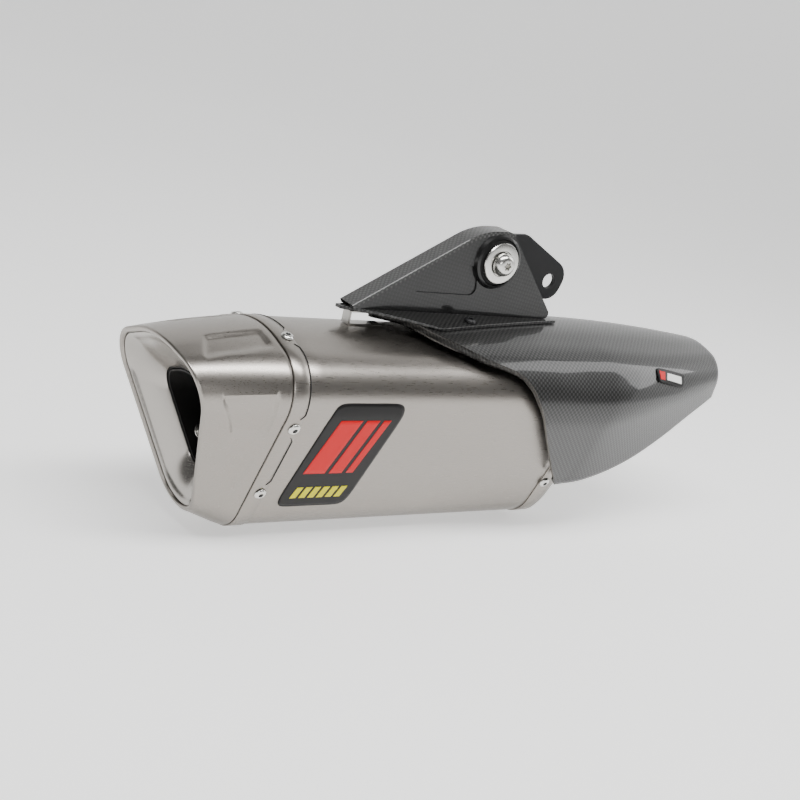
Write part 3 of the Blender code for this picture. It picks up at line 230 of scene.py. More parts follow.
def outline_walks(outline):
    """Distance of each outline point along the skin from the lowest point, positive up the outer side."""
    count = len(outline)
    start = min(range(count), key=lambda i: (round(outline[i][0].y, 6), abs(outline[i][0].x)))
    ahead = outline[(start + 1) % count][0] - outline[start][0]
    step = 1 if ahead.x < 0 else -1
    walks = [0.0] * count
    distance = 0.0
    index = start
    for _ in range(count - 1):
        following = (index + step) % count
        distance += (outline[following][0] - outline[index][0]).length
        walks[following] = distance
        index = following
    return walks


CAN_WALKS = outline_walks(CAN_OUTLINE)
CAN_GIRTH = max(CAN_WALKS) + 0.004
WALK_ORDER = sorted(range(len(CAN_WALKS)), key=lambda i: CAN_WALKS[i])


def walk_point(distance):
    """Point and normal of the can's section at a distance along its skin."""
    distance = distance % CAN_GIRTH
    for a, b in zip(WALK_ORDER, WALK_ORDER[1:]):
        if CAN_WALKS[a] <= distance <= CAN_WALKS[b]:
            t = (distance - CAN_WALKS[a]) / max(1e-9, CAN_WALKS[b] - CAN_WALKS[a])
            point = CAN_OUTLINE[a][0].lerp(CAN_OUTLINE[b][0], t)
            return point, CAN_OUTLINE[a][1].lerp(CAN_OUTLINE[b][1], t).normalized()
    return CAN_OUTLINE[WALK_ORDER[-1]]


def section(scale=FULL, offset=0.0):
    """The can's section as (y, z) points, scaled about its axis and offset along its normals."""
    across, up = scale
    return [Vector((p.x * across, p.y * up)) + normal * offset for p, normal in CAN_OUTLINE]


def circle_like_section(radius, centre_z):
    """A circle whose points face the section's points."""
    points = []
    for point, _ in CAN_OUTLINE:
        direction = point.normalized()
        points.append(Vector((direction.x * radius, centre_z + direction.y * radius)))
    return points


def ring(points, x):
    """Place (y, z) points at x, which is a number or a function of y and z."""
    if callable(x):
        return [Vector((x(p.x, p.y), p.x, p.y)) for p in points]
    return [Vector((x, p.x, p.y)) for p in points]


def lip_x(y, z):
    """x of the exit cut."""
    return LIP_TOP_X + (LIP_TOP_Z - z) * LIP_RAKE - y * LIP_YAW


def roof_z(y, offset):
    """Height of the can's roof at y, raised by an offset."""
    points = sorted((p + n * offset for p, n in CAN_OUTLINE if p.y > 0.03), key=lambda p: p.x)
    for here, there in zip(points, points[1:]):
        if here.x <= y <= there.x and there.x > here.x:
            return mix(here.y, there.y, (y - here.x) / (there.x - here.x))
    return points[0].y


def along_knots(knots, at):
    """Value at a place on a list of (place, value) knots, eased between them and held past the ends."""
    if at <= knots[0][0]:
        return knots[0][1]
    for index in range(len(knots) - 1):
        a, first = knots[index]
        b, last = knots[index + 1]
        if at <= b:
            before = knots[max(0, index - 1)]
            after = knots[min(len(knots) - 1, index + 2)]
            slope_in = (last - before[1]) / (b - before[0])
            slope_out = (after[1] - first) / (after[0] - a)
            t = (at - a) / (b - a)
            rise = (b - a) * (t * (1 - t) ** 2 * slope_in - t * t * (1 - t) * slope_out)
            return mix(first, last, t * t * (3 - 2 * t)) + rise
    return knots[-1][1]


def shield_sides(x, steps=12):
    """The shield's section at x as two paths of (point, normal) pairs, outer and inner, from the crown."""
    t = min(1.0, max(0.0, (x - SLEEVE_LENGTH) / (SHIELD_FRONT_X - SLEEVE_LENGTH)))
    crown, outer, outer_keel, inner_keel, inner = offset_corners(SECTION_CORNERS, SHIELD_OFFSET)
    front_crown, front_outer, front_inner = SHIELD_FRONT_CORNERS
    reach = 0.140
    shaped = [(mix(crown[0], front_crown[0], t), mix(crown[1], front_crown[1], t ** 2),
               mix(crown[2], front_crown[2], t))]
    for shoulder, keel, front in ((outer, outer_keel, front_outer), (inner, inner_keel, front_inner)):
        side = math.copysign(1.0, shoulder[0])
        lean = abs(shoulder[0] - keel[0]) / (shoulder[1] - keel[1])
        lean = mix(lean, -SHIELD_FRONT_LEAN, t)
        width = mix(shoulder[0], front[0], t ** 1.25)
        height = mix(shoulder[1], front[1], t)
        top = (width, height, mix(shoulder[2], front[2], t))
        low = (width - side * lean * reach, height - reach, 0.002)
        shaped += [top, low] if side < 0 else [low, top]
    outline = fillet_outline(shaped, steps)
    arc = steps + 1
    middle = steps // 2
    return outline[middle:3 * arc], outline[middle::-1] + outline[:3 * arc - 1:-1]


def shield_point(x, distance, sides=None):
    """Point and normal on the shield's skin at x, at a distance from the crown, positive outwards."""
    outer_path, inner_path = sides or shield_sides(x)
    path = outer_path if distance >= 0.0 else inner_path
    left = abs(distance)
    for (here, normal), (there, next_normal) in zip(path, path[1:]):
        length = (there - here).length
        if 0.0 < length and left <= length:
            t = left / length
            return here.lerp(there, t), normal.lerp(next_normal, t).normalized()
        left -= length
    return path[-1]


def shield_depth(x):
    """Distance along the skin from the crown to the outer lower edge at x."""
    goal = along_knots(SHIELD_LOW_EDGE, x)
    sides = shield_sides(x)
    low = 0.0
    high = 0.260
    for _ in range(26):
        middle = (low + high) / 2
        if shield_point(x, middle, sides)[0].y > goal:
            low = middle
        else:
            high = middle
    return low


# ---- meshes -------------------------------------------------------------------------------------------


def finish_mesh(name, builder, material, angle=40.0):
    """Turn a bmesh in the can's frame into a linked, smooth object in the model's frame."""
    mesh = bpy.data.meshes.new(name)
    bmesh.ops.translate(builder, verts=builder.verts, vec=SHIFT)
    builder.to_mesh(mesh)
    builder.free()
    mesh.materials.append(material)
    item = bpy.data.objects.new(name, mesh)
    bpy.context.scene.collection.objects.link(item)
    mesh.shade_smooth()
    mesh.set_sharp_from_angle(angle=math.radians(angle))
    return item


def skin(name, rows, material, around=False, along=False, uvs=None, angle=40.0, outside=None):
    """Skin equal rows of points. uvs holds a (u, v) pair in metres for each point."""
    builder = bmesh.new()
    layer = builder.loops.layers.uv.new("skin") if uvs else None
    grid = [[builder.verts.new(point) for point in row] for row in rows]
    row_count = len(grid)
    column_count = len(grid[0])
    for i in range(row_count if along else row_count - 1):
        for j in range(column_count if around else column_count - 1):
            corners = ((i, j), (i, (j + 1) % column_count),
                       ((i + 1) % row_count, (j + 1) % column_count), ((i + 1) % row_count, j))
            face = builder.faces.new([grid[a][b] for a, b in corners])
            if layer:
                for loop, (a, b) in zip(face.loops, corners):
                    loop[layer].uv = uvs[a][b]
    bmesh.ops.recalc_face_normals(builder, faces=builder.faces)
    if around and along and builder.calc_volume(signed=True) < 0.0:
        bmesh.ops.reverse_faces(builder, faces=builder.faces)
    if outside is not None:
        vote = 0
        for face in builder.faces:
            away = face.calc_center_median() - outside
            away.x = 0.0
            vote += 1 if face.normal.dot(away) > 0.0 else -1
        if vote < 0:
            bmesh.ops.reverse_faces(builder, faces=builder.faces)
    return finish_mesh(name, builder, material, angle)


def add_thickness(item, thickness, rim=True):
    """Give a skin its thickness on the inner side."""
    modifier = item.modifiers.new("thickness", "SOLIDIFY")
    modifier.thickness = thickness
    modifier.offset = -1.0
    modifier.use_even_offset = True
    modifier.use_rim = rim


def add_bevel(item, width, segments=2):
    """Soften the sharp edges."""
    modifier = item.modifiers.new("soft_edges", "BEVEL")
    modifier.width = width
    modifier.segments = segments
    modifier.limit_method = "ANGLE"
    modifier.angle_limit = math.radians(35)
    modifier.harden_normals = False


def turned(name, profile, place, direction, material, steps=64, closed=False):
    """Turn a (radius, height) profile about an axis through place; height runs along direction."""
    turn = Vector(direction).to_track_quat("Z", "Y").to_matrix()
    place = Vector(place)
    rows = []
    for radius, height in profile:
        row = []
        for step in range(steps):
            angle = 2 * math.pi * step / steps
            row.append(place + turn @ Vector((radius * math.cos(angle), radius * math.sin(angle), height)))
        rows.append(row)
    return skin(name, rows, material, around=True, along=closed, angle=32.0)


def copy_node(name, node, material, bevel=0.0004):
    """The CAD piece itself with softened edges and its own material."""
    item = bpy.data.objects.new(name, bpy.data.objects[node].data.copy())
    bpy.context.scene.collection.objects.link(item)
    item.data.materials.clear()
    item.data.materials.append(material)
    builder = bmesh.new()
    builder.from_mesh(item.data)
    bmesh.ops.remove_doubles(builder, verts=builder.verts, dist=0.00001)
    bmesh.ops.dissolve_limit(builder, angle_limit=math.radians(1.5), verts=builder.verts,
                             edges=builder.edges)
    builder.to_mesh(item.data)
    builder.free()
    item.data.shade_smooth()
    item.data.set_sharp_from_angle(angle=math.radians(34))
    if bevel:
        add_bevel(item, bevel)
    return item


def take_over(item, body, *nodes):
    """Ride on a body and stand for CAD nodes."""
    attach(item, body)
    if nodes:
        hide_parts(*nodes)
    return item


# ---- materials ----------------------------------------------------------------------------------------


def node(tree, kind, links=None, **values):
    """Add a shader node: links fill its sockets with sockets or values, and values set its properties."""
    made = tree.nodes.new(kind)
    for key, value in values.items():
        if hasattr(made, key) and key not in made.inputs:
            setattr(made, key, value)
    for key, value in (links or {}).items():
        painted_shade = made.inputs[key]
        if isinstance(value, bpy.types.NodeSocket):
            tree.links.new(value, painted_shade)
        else:
            painted_shade.default_value = value
    return made


def principled(name, colour, metallic=0.0, roughness=0.5):
    """A new material; gives it with its tree and shader."""
    material = bpy.data.materials.new(name)
    material.use_nodes = True
    tree = material.node_tree
    shader = tree.nodes["Principled BSDF"]
    shader.inputs["Base Color"].default_value = linear(colour)
    shader.inputs["Metallic"].default_value = metallic
    shader.inputs["Roughness"].default_value = roughness
    return material, tree, shader


def add_grain(tree, shader, stretch, roughness, spread, bump=0.0):
    """Fine grain in object space, stretched along X, on the roughness and the surface."""
    place = node(tree, "ShaderNodeTexCoord").outputs["Object"]
    mapping = node(tree, "ShaderNodeMapping", {"Vector": place, "Scale": stretch})
    noise = node(tree, "ShaderNodeTexNoise", {"Vector": mapping.outputs[0], "Scale": 1.0, "Detail": 4.0})
    spread_node = node(tree, "ShaderNodeMapRange", {
        "Value": noise.outputs["Fac"], "From Min": 0.3, "From Max": 0.7,
        "To Min": roughness - spread, "To Max": roughness + spread})
    tree.links.new(spread_node.outputs[0], shader.inputs["Roughness"])
    if bump:
        relief = node(tree, "ShaderNodeBump", {"Height": noise.outputs["Fac"], "Distance": bump,
                                               "Strength": 0.2})
        tree.links.new(relief.outputs[0], shader.inputs["Normal"])


# A grain of the sheet is about 8 mm long and 0.4 mm wide, coarser than the real one, so that it shows.
GRAIN_PER_METRE = (120.0, 2600.0, 2600.0)


def titanium(name, colour, roughness):
    """Satin titanium sheet with a faint grain along the can."""
    material, tree, shader = principled(name, colour, 1.0, roughness)
    add_grain(tree, shader, GRAIN_PER_METRE, roughness, 0.05, 0.00001)
    return material


def carbon(name, cell, dark, painted_sheen, bump=0.00006):
    """Checked carbon cloth under clear coat. The lighter tows are a painted sheen, and the near-black towards
    each tow's edges is painted shade. The skin's uv is in metres, and cell is a tow's width.
    """
    material, tree, shader = principled(name, dark, 0.0, 0.38)
    uv = node(tree, "ShaderNodeUVMap", uv_map="skin").outputs[0]
    parts = node(tree, "ShaderNodeSeparateXYZ", {0: uv})
    counts = []
    ridges = []
    for way in (0, 1):
        place = node(tree, "ShaderNodeMath", {0: parts.outputs[way], 1: cell}, operation="DIVIDE").outputs[0]
        counts.append(node(tree, "ShaderNodeMath", {0: place}, operation="FLOOR").outputs[0])
        share = node(tree, "ShaderNodeMath", {0: place}, operation="FRACT").outputs[0]
        turn = node(tree, "ShaderNodeMath", {0: share, 1: math.pi}, operation="MULTIPLY").outputs[0]
        ridges.append(node(tree, "ShaderNodeMath", {0: turn}, operation="SINE").outputs[0])
    step = node(tree, "ShaderNodeMath", {0: counts[0], 1: counts[1]}, operation="ADD").outputs[0]
    phase = node(tree, "ShaderNodeMath", {0: step, 1: 2.0}, operation="FLOORED_MODULO").outputs[0]
    over = node(tree, "ShaderNodeMath", {0: phase, 1: 0.5}, operation="LESS_THAN").outputs[0]
    ridge = node(tree, "ShaderNodeMix", {0: over, 2: ridges[1], 3: ridges[0]}, data_type="FLOAT").outputs[0]
    ridge = node(tree, "ShaderNodeMath", {0: ridge, 1: 0.5}, operation="POWER").outputs[0]
    # Painted sheen: the tows running one way get the lighter colour. Painted shade: every tow darkens to
    # near-black towards its edges.
    painted_tow_sheen = node(tree, "ShaderNodeMix", {0: over, 6: linear(dark), 7: linear(painted_sheen)}, data_type="RGBA")
    painted_sheen_and_shade = node(tree, "ShaderNodeMix", {0: ridge, 6: linear("#060606"), 7: painted_tow_sheen.outputs[2]},
                data_type="RGBA")
    tree.links.new(painted_sheen_and_shade.outputs[2], shader.inputs["Base Color"])
    relief = node(tree, "ShaderNodeBump", {"Height": ridge, "Distance": bump, "Strength": 0.5})
    tree.links.new(relief.outputs[0], shader.inputs["Normal"])
    shader.inputs["Specular IOR Level"].default_value = 0.3
    shader.inputs["Coat Weight"].default_value = 0.5
    shader.inputs["Coat Roughness"].default_value = 0.06
    return material


def library():
    """Every material, by the name of what it is."""
    found = bpy.context.scene.silencer_looks
    # Rolled titanium sheet is warm grey, and its satin finish draws the lights out into soft bands.
    # Carbon cloth is black; its lighter grey tows are a painted sheen, the dark at their edges is painted
    # shade, and its clear coat gives one sharper reflection on top.
    made = {
        "titanium": titanium("satin_titanium", "#98938D", found.titanium_roughness),
        "titanium_inside": titanium("polished_titanium", "#A5A19C", 0.24),
        "cloth": carbon("carbon_cloth_clear_coat", found.tow_width, "#070707", "#363635"),
        "cloth_dark": carbon("carbon_cloth_web", found.tow_width, "#050505", "#161616"),
    }
    # Soot is a dull black, brushed steel and zinc plate are bright, and powder coat and rubber are matt.
    # Printed foil and ink reflect little, so that their colours stay deep.
    for key, name, colour, metallic, rough in (
            ("soot", "sooted_steel", "#141312", 0.4, 0.55),
            ("steel", "stainless_steel", "#AFADA9", 1.0, 0.28),
            ("zinc", "bright_zinc_plate", "#D2D1CD", 1.0, 0.22),
            # bolt_socket_shadow is painted shade: a flat black laid where the band's pressed grooves and the
            # rivets' holes would hold shade.
            ("painted_shade", "bolt_socket_shadow", "#0A0A0A", 0.0, 0.7),
            ("coat", "black_powder_coat", "#1B1B1C", 0.0, 0.38),
            ("rubber", "bush_rubber", "#141414", 0.0, 0.6),
            ("wool", "basalt_wool", "#7C6F52", 0.0, 0.95),
            ("foil", "label_foil_black", "#121111", 0.0, 0.36),
            ("red", "label_ink_red", "#C8000C", 0.0, 0.42),
            ("yellow", "label_ink_yellow", "#D6CE00", 0.0, 0.42),
            ("white", "label_ink_white", "#E9E9E6", 0.0, 0.42)):
        made[key], _, shader = principled(name, colour, metallic, rough)
        if key in ("foil", "red", "yellow", "coat", "rubber"):
            shader.inputs["Specular IOR Level"].default_value = 0.2
    return made


def looks(name):
    """A material by its key, made on first use."""
    if not _made:
        _made.update(library())
    return _made[name]


_made = {}

# ---- settings -----------------------------------------------------------------------------------------


class SilencerLooks(bpy.types.PropertyGroup):
    """Settings of the looks."""

    titanium_roughness: bpy.props.FloatProperty(
        name="Titanium roughness", description="How satin the can's sheet is", default=0.31, min=0.05,
        max=0.8, subtype="FACTOR")
    tow_width: bpy.props.FloatProperty(
        name="Tow width", description="Width of one tow of the carbon weave", default=0.0021, min=0.0005,
        max=0.01, unit="LENGTH")
    panel_edge: bpy.props.FloatProperty(
        name="Panel edge", description="Width of the slope round the end cap's pressed panels",
        default=0.0034, min=0.001, max=0.02, unit="LENGTH")
    light_power: bpy.props.FloatProperty(
        name="Light power", description="Strength of the studio's soft lights against the default",
        default=1.0, min=0.1, max=5.0, subtype="FACTOR")


# ---- the can ------------------------------------------------------------------------------------------


def inside_distance(corners, u, v):
    """How far (u, v) is inside a convex outline; negative outside."""
    area = 0.0
    for (a, b), (c, d) in zip(corners, corners[1:] + corners[:1]):
        area += a * d - b * c
    sign = 1.0 if area > 0 else -1.0
    best = 1.0
    for (a, b), (c, d) in zip(corners, corners[1:] + corners[:1]):
        length = math.hypot(c - a, d - b)
        best = min(best, sign * ((c - a) * (v - b) - (d - b) * (u - a)) / length)
    return best


def cap_rows(steps, edge):
    """Rows of the end cap's outer skin from the seam to the lip, with its panels pressed in."""
    panels = []
    for corners, depth in CAP_PANELS:
        panels.append(([(t * 0.075, walk) for t, walk in corners], depth))
    rows = []
    for index in range(steps + 1):
        t = index / steps
        scale = mix_pair(FULL, LIP_SCALE, t ** 1.25)
        row = []
        for (point, normal), walk in zip(CAN_OUTLINE, CAN_WALKS):
            sink = 0.0
            for place in (walk, CAN_GIRTH * 0.995 - walk):
                for corners, depth in panels:
                    inside = inside_distance(corners, t * 0.075, place)
                    share = min(1.0, max(0.0, (inside + edge * 0.5) / edge))
                    sink = max(sink, depth * share * share * (3 - 2 * share))
            y = point.x * scale[0]
            z = point.y * scale[1]
            spot = Vector((mix(-GAP, lip_x(y, z), t), y, z))
            row.append(spot - Vector((0.0, normal.x, normal.y)) * sink)
        rows.append(row)
    return rows


def lip_ring(offset, push, scale=LIP_SCALE):
    """A ring beside the exit cut."""
    return ring(section(scale, offset), lambda y, z: lip_x(y, z) + push)


class SILENCER_OT_can(bpy.types.Operator):
    """Skin the sleeve, its bands, the front cap and the rivets"""

    bl_idname = "silencer.dress_can"
    bl_label = "Dress Can"

    def execute(self, context):
        """Build the can's skins."""
        metal = looks("titanium")
        end = SLEEVE_LENGTH
        rows = [ring(section(offset=-WALL), 0.0), ring(section(offset=-0.0003), 0.0),
                ring(section(), 0.0004)]
        rows += [ring(section(), end * k / 12) for k in range(1, 12)]
        rows += [ring(section(), end - 0.0004), ring(section(offset=-0.0003), end),
                 ring(section(offset=-WALL), end)]
        take_over(skin("sleeve_skin", rows, metal, around=True, along=True), "silencer", "sleeve")
        for name, low in (("rear_band", 0.0), ("front_band", end - BAND_WIDTH)):
            high = low + BAND_WIDTH
            inner = section(offset=GAP * 0.3)
            outer = section(offset=BAND_WALL)
            soft = section(offset=BAND_WALL * 0.6)
            rows = [ring(inner, low), ring(soft, low), ring(outer, low + 0.0004),
                    ring(outer, high - 0.0005), ring(soft, high), ring(inner, high)]
            take_over(skin(name + "_skin", rows, metal, around=True, along=True), "silencer", name)
        self.front_cap(metal, end)
        self.rivets(end)
        self.grooves()
        return {"FINISHED"}

    def front_cap(self, metal, end):
        """The front cap's dome and neck."""
        neck = circle_like_section(NECK_RADIUS, NECK_CENTRE_Z)
        bore = circle_like_section(NECK_RADIUS - WALL, NECK_CENTRE_Z)
        stations = ((0.0, 1.0, 0.0), (0.002, 0.992, 0.0), (0.004, 0.975, 0.0), (0.008, 0.94, 0.01),
                    (0.012, 0.90, 0.04), (0.018, 0.83, 0.10), (0.024, 0.76, 0.18), (0.030, 0.67, 0.35),
                    (0.036, 0.58, 0.55), (0.041, 0.52, 0.80), (0.046, 0.48, 0.97))
        rows = [ring(section(offset=-WALL - GAP), end - 0.016), ring(section(offset=-WALL - GAP), end + GAP)]
        for along, scale, roundness in stations:
            points = [a.lerp(b, roundness) for a, b in zip(section((scale, scale)), neck)]
            rows.append(ring(points, end + GAP + along))
        rows.append(ring(neck, NECK_END_X))
        rows.append(ring(bore, NECK_END_X))
        rows.append(ring(bore, end + 0.046))
        rows.append(ring(section((0.7, 0.7)), end + 0.018))
        rows.append(ring(section(offset=-2 * WALL - GAP), end - 0.016))
        take_over(skin("front_cap_skin", rows, metal, around=True, along=True), "silencer", "front_cap")

    def grooves(self):
        """Painted shade of the pressed lines along the rear band's edge, hooked towards the seam beside each
        rivet: thin black strips laid on the band.
        """
        stops = sorted(walk % CAN_GIRTH for walk in RIVET_WALKS)
        for number, (low, high) in enumerate(zip(stops, stops[1:]), start=1):
            first = low + 0.009
            last = high - 0.009
            if last - first < 0.012:
                continue
            rows = []
            for k in range(49):
                walk = mix(first, last, k / 48)
                near_end = min(walk - first, last - walk)
                hook = 0.0026 * max(0.0, 1.0 - near_end / 0.0035)
                point, normal = walk_point(walk)
                rows.append([Vector((BAND_WIDTH - hook + wide, point.x + normal.x * 0.0011,
                                     point.y + normal.y * 0.0011)) for wide in (-0.0006, 0.0)])
            # Each strip is painted shade: a thin black strip standing where a pressed groove would hold
            # shade.
            line = skin("painted_groove_shade_%d" % number, rows, looks("painted_shade"), outside=Vector((0.0, 0.0, 0.0)))
            add_thickness(line, 0.0003)
            take_over(line, "silencer")

    def rivets(self, end):
        """Blind rivets with a recess round the mandrel, capped by a black disc that is painted shade for the
        hole.
        """
        seat = GAP * 2 + BAND_WALL
        profile = ((0.0, -0.0002), (0.0012, -0.0002), (0.0016, 0.0011), (0.0019, 0.0017), (0.0026, 0.0017),
                   (0.0036, 0.0013), (0.0044, 0.0007), (0.0047, 0.0002), (0.0047, -0.0002), (0.0, -0.0003))
        for prefix, x in (("rear", RIVET_INSET), ("front", end - RIVET_INSET)):
            for number, walk in enumerate(RIVET_WALKS, start=1):
                point, normal = walk_point(walk)
                place = (x, point.x + normal.x * seat, point.y + normal.y * seat)
                direction = (0.0, normal.x, normal.y)
                name = "%s_rivet_%d" % (prefix, number)
                head = turned(name + "_head", profile, place, direction, looks("zinc"), 40)
                take_over(head, "silencer", name)
                # The black disc over the mandrel's hole is painted shade, standing for the dark of the hole.
                painted_hole_shade = turned(name + "_pin", ((0.0, 0.0016), (0.0018, 0.0016), (0.0019, 0.0010)), place,
                             direction, looks("painted_shade"), 20)
                take_over(painted_hole_shade, "silencer")


class SILENCER_OT_outlet(bpy.types.Operator):
    """Skin the end cap, its dish, the duct and the insert"""

    bl_idname = "silencer.dress_outlet"
    bl_label = "Dress Outlet"

    def execute(self, context):
        """Build the outlet's skins."""
        rows = [ring(section(offset=-WALL - GAP), 0.016), ring(section(offset=-WALL - GAP), -GAP)]
        cap = cap_rows(44, context.scene.silencer_looks.panel_edge)
        cap[0] = ring(section(offset=-0.0006), -GAP)
        rows += cap
        for k in range(1, 9):
            angle = math.pi * k / 9
            rows.append(lip_ring(-LIP_RADIUS * (1 - math.cos(angle)), -LIP_RADIUS * math.sin(angle)))
        rows.append(lip_ring(-2 * LIP_RADIUS, 0.0))
        rows.append(lip_ring(-0.0021, 0.0015))
        rows.append(ring(section(offset=-2 * WALL - GAP), 0.0))
        rows.append(ring(section(offset=-2 * WALL - GAP), 0.016))
        cap_skin = skin("end_cap_skin", rows, looks("titanium"), around=True, along=True)
        take_over(cap_skin, "silencer", "end_cap")

        rows = []
        for k in range(17):
            t = k / 16
            scale = mix_pair(LIP_SCALE, MOUTH_SCALE, t)
            offset = mix(-2 * LIP_RADIUS - GAP, 0.0, min(1.0, t * 3))
            depth = 0.0004 + DISH_DEPTH * (0.35 * t + 0.65 * t * t)
            rows.append(lip_ring(offset, depth, scale))
        rows.append(lip_ring(-0.0004, DISH_DEPTH + 0.0012, MOUTH_SCALE))
        rows.append(lip_ring(0.0, DISH_DEPTH + 0.0016, MOUTH_SCALE))
        rows.append(lip_ring(-2 * LIP_RADIUS - GAP, 0.0016, LIP_SCALE))
        take_over(skin("dish_skin", rows, looks("titanium_inside"), around=True, along=True), "silencer",
                  "end_cap_dish")

        mouth = DISH_DEPTH + 0.0004 + WALL + GAP
        for name, shrink, last in (("outlet_duct", 0.0, 1.0), ("noise_insert", WALL + INSERT_GAP, 0.8)):
            rows = []
            for skin_side in (0.0, WALL):
                part = []
                for k in range(13):
                    t = last * k / 12
                    flat = section(MOUTH_SCALE, -shrink - skin_side)
                    end = circle_like_section(DUCT_RADIUS - shrink - skin_side, DUCT_CENTRE_Z)
                    points = [a.lerp(b, t * t * (3 - 2 * t)) for a, b in zip(flat, end)]
                    part.append(ring(points, lambda y, z, t=t: mix(lip_x(y, z) + mouth, DUCT_END_X, t)))
                radius = DUCT_RADIUS if shrink == 0.0 else INSERT_NECK_RADIUS
                for x in ((0.048,) if shrink == 0.0 else (0.034, 0.080)):
                    part.append(ring(circle_like_section(radius - skin_side, DUCT_CENTRE_Z), x))
                rows += part if skin_side == 0.0 else part[::-1]
            piece = skin(name + "_skin", rows, looks("soot"), around=True, along=True)
            take_over(piece, "silencer", name)
        for name, key in (("damper_screw", "zinc"), ("damper_washer", "zinc")):
            take_over(copy_node(name + "_soft", name, looks(key), 0.0003), "silencer", name)
        return {"FINISHED"}


# ---- the shield ---------------------------------------------------------------------------------------


class SILENCER_OT_shield(bpy.types.Operator):
    """Skin the carbon heat shield"""

    bl_idname = "silencer.dress_shield"
    bl_label = "Dress Shield"

    def execute(self, context):
        """Build the shield's skin with its turned-in rear rim."""
        columns = 96
        rows = 70
        rear_depth = shield_depth(SHIELD_REAR_EDGE[-1][1])
        lines = []
        uvs = []
        sections = {}
        for row in range(-4, rows + 1):
            line = []
            uv_line = []
            for column in range(columns + 1):
                share = column / columns
                rear_distance = mix(-SHIELD_FAR_REACH, rear_depth, share)
                x_rear = along_knots(SHIELD_REAR_EDGE, rear_distance)
                x = mix(x_rear, SHIELD_FRONT_X, max(0, row) / rows)
                taper = min(1.0, max(0.0, (x - SLEEVE_LENGTH) / (SHIELD_FRONT_X - SLEEVE_LENGTH)))
                key = round(x, 5)
                if key not in sections:
                    sections[key] = (shield_sides(x), shield_depth(x))
                sides, depth = sections[key]
                far = SHIELD_FAR_REACH * mix(1.0, 0.70, taper)
                distance = mix(-far, depth, share)
                point, normal = shield_point(x, distance, sides)
                sink = self.relief(x, distance)
                if row < 0:
                    share_in = -row / 4
                    sink += SHIELD_RIM * share_in ** 1.3
                    x += 0.0012 * math.sqrt(share_in)
                point = point - normal * sink
                line.append(Vector((x, point.x, point.y)))
                uv_line.append((x - (0.006 * -row / 4 if row < 0 else 0.0), distance))
            lines.append(line)
            uvs.append(uv_line)
        shield = skin("heat_shield_skin", lines, looks("cloth"), uvs=uvs, angle=50.0,
                      outside=Vector((0.300, 0.0, 0.0)))
        add_thickness(shield, SHIELD_WALL)
        take_over(shield, "silencer", "heat_shield")
        return {"FINISHED"}

    def relief(self, x, distance):
        """Depth of the long shallow hollow that runs forward along the outer side."""
        low = mix(0.086, 0.070, (x - 0.22) / 0.22)
        across = (distance - low) / 0.010
        fade = min(1.0, max(0.0, (x - 0.235) / 0.03)) * min(1.0, max(0.0, (0.430 - x) / 0.05))
        return 0.0010 * math.exp(-across * across) * fade


# ---- the bracket and the hanger -----------------------------------------------------------------------


def flat_panel(name, outline, holes, y_near, y_far, material, bevel=0.0004):
    """A flat piece in the XZ plane with round holes, and uv in metres."""
    curve = bpy.data.curves.new(name, "CURVE")
    curve.dimensions = "2D"
    curve.fill_mode = "BOTH"
    curve.extrude = abs(y_far - y_near) / 2
    for points in [outline] + holes:
        spline = curve.splines.new("POLY")
        spline.points.add(len(points) - 1)
        for target, (x, z) in zip(spline.points, points):
            target.co = (x, z, 0.0, 1.0)
        spline.use_cyclic_u = True
    source = bpy.data.objects.new(name + "_outline", curve)
    bpy.context.scene.collection.objects.link(source)
    bpy.context.view_layer.update()
    mesh = bpy.data.meshes.new_from_object(source.evaluated_get(bpy.context.evaluated_depsgraph_get()))
    bpy.data.objects.remove(source, do_unlink=True)
    turn = Matrix(((1, 0, 0, 0), (0, 0, -1, (y_near + y_far) / 2), (0, 1, 0, 0), (0, 0, 0, 1)))
    mesh.transform(turn)
    builder = bmesh.new()
    builder.from_mesh(mesh)
    bmesh.ops.remove_doubles(builder, verts=builder.verts, dist=0.000001)
    bmesh.ops.recalc_face_normals(builder, faces=builder.faces)
    layer = builder.loops.layers.uv.new("skin")
    for face in builder.faces:
        for loop in face.loops:
            loop[layer].uv = (loop.vert.co.x * 0.82 + loop.vert.co.z * 0.57,
                              loop.vert.co.z * 0.82 - loop.vert.co.x * 0.57)
    item = finish_mesh(name, builder, material, 34.0)
    if bevel:
        add_bevel(item, bevel)
    return item


def round_hole(x, z, radius, steps=56):
    """A circle in the XZ plane."""
    turns = [2 * math.pi * i / steps for i in range(steps)]
    return [(x + radius * math.cos(a), z + radius * math.sin(a)) for a in turns]


def flange_rows():
    """Rows of the strip along the web's upper edge, closed round the strip's section."""
    full = fillet_outline(FIN_CORNERS, 24)
    upper = [pair for pair in full if pair[1].y > 0.8 and pair[0].x < 0.2125]
    dense = []
    for (here, normal), (there, following) in zip(upper, upper[1:]):
        pieces = max(1, math.ceil((there - here).length / 0.003))
        dense += [(here.lerp(there, k / pieces), normal.lerp(following, k / pieces)) for k in range(pieces)]
    dense.append(upper[-1])
    near = FIN_Y - FIN_WALL / 2 - 0.0006
    far = FIN_FLANGE_Y
    loop = ((near, 0.0004), (near + 0.0005, 0.0008), (mix(near, far, 0.5), 0.0008), (far - 0.0005, 0.0008),
            (far, 0.0004), (far, -FIN_WALL), (mix(near, far, 0.5), -FIN_WALL), (near, -FIN_WALL))
    rows = []
    uvs = []
    length = 0.0
    last = dense[0][0]
    for point, normal in dense:
        length += (point - last).length
        last = point
        rows.append([Vector((point.x + normal.x * rise, y, point.y + normal.y * rise)) for y, rise in loop])
        uvs.append([(length, y + rise) for y, rise in loop])
    return rows, uvs


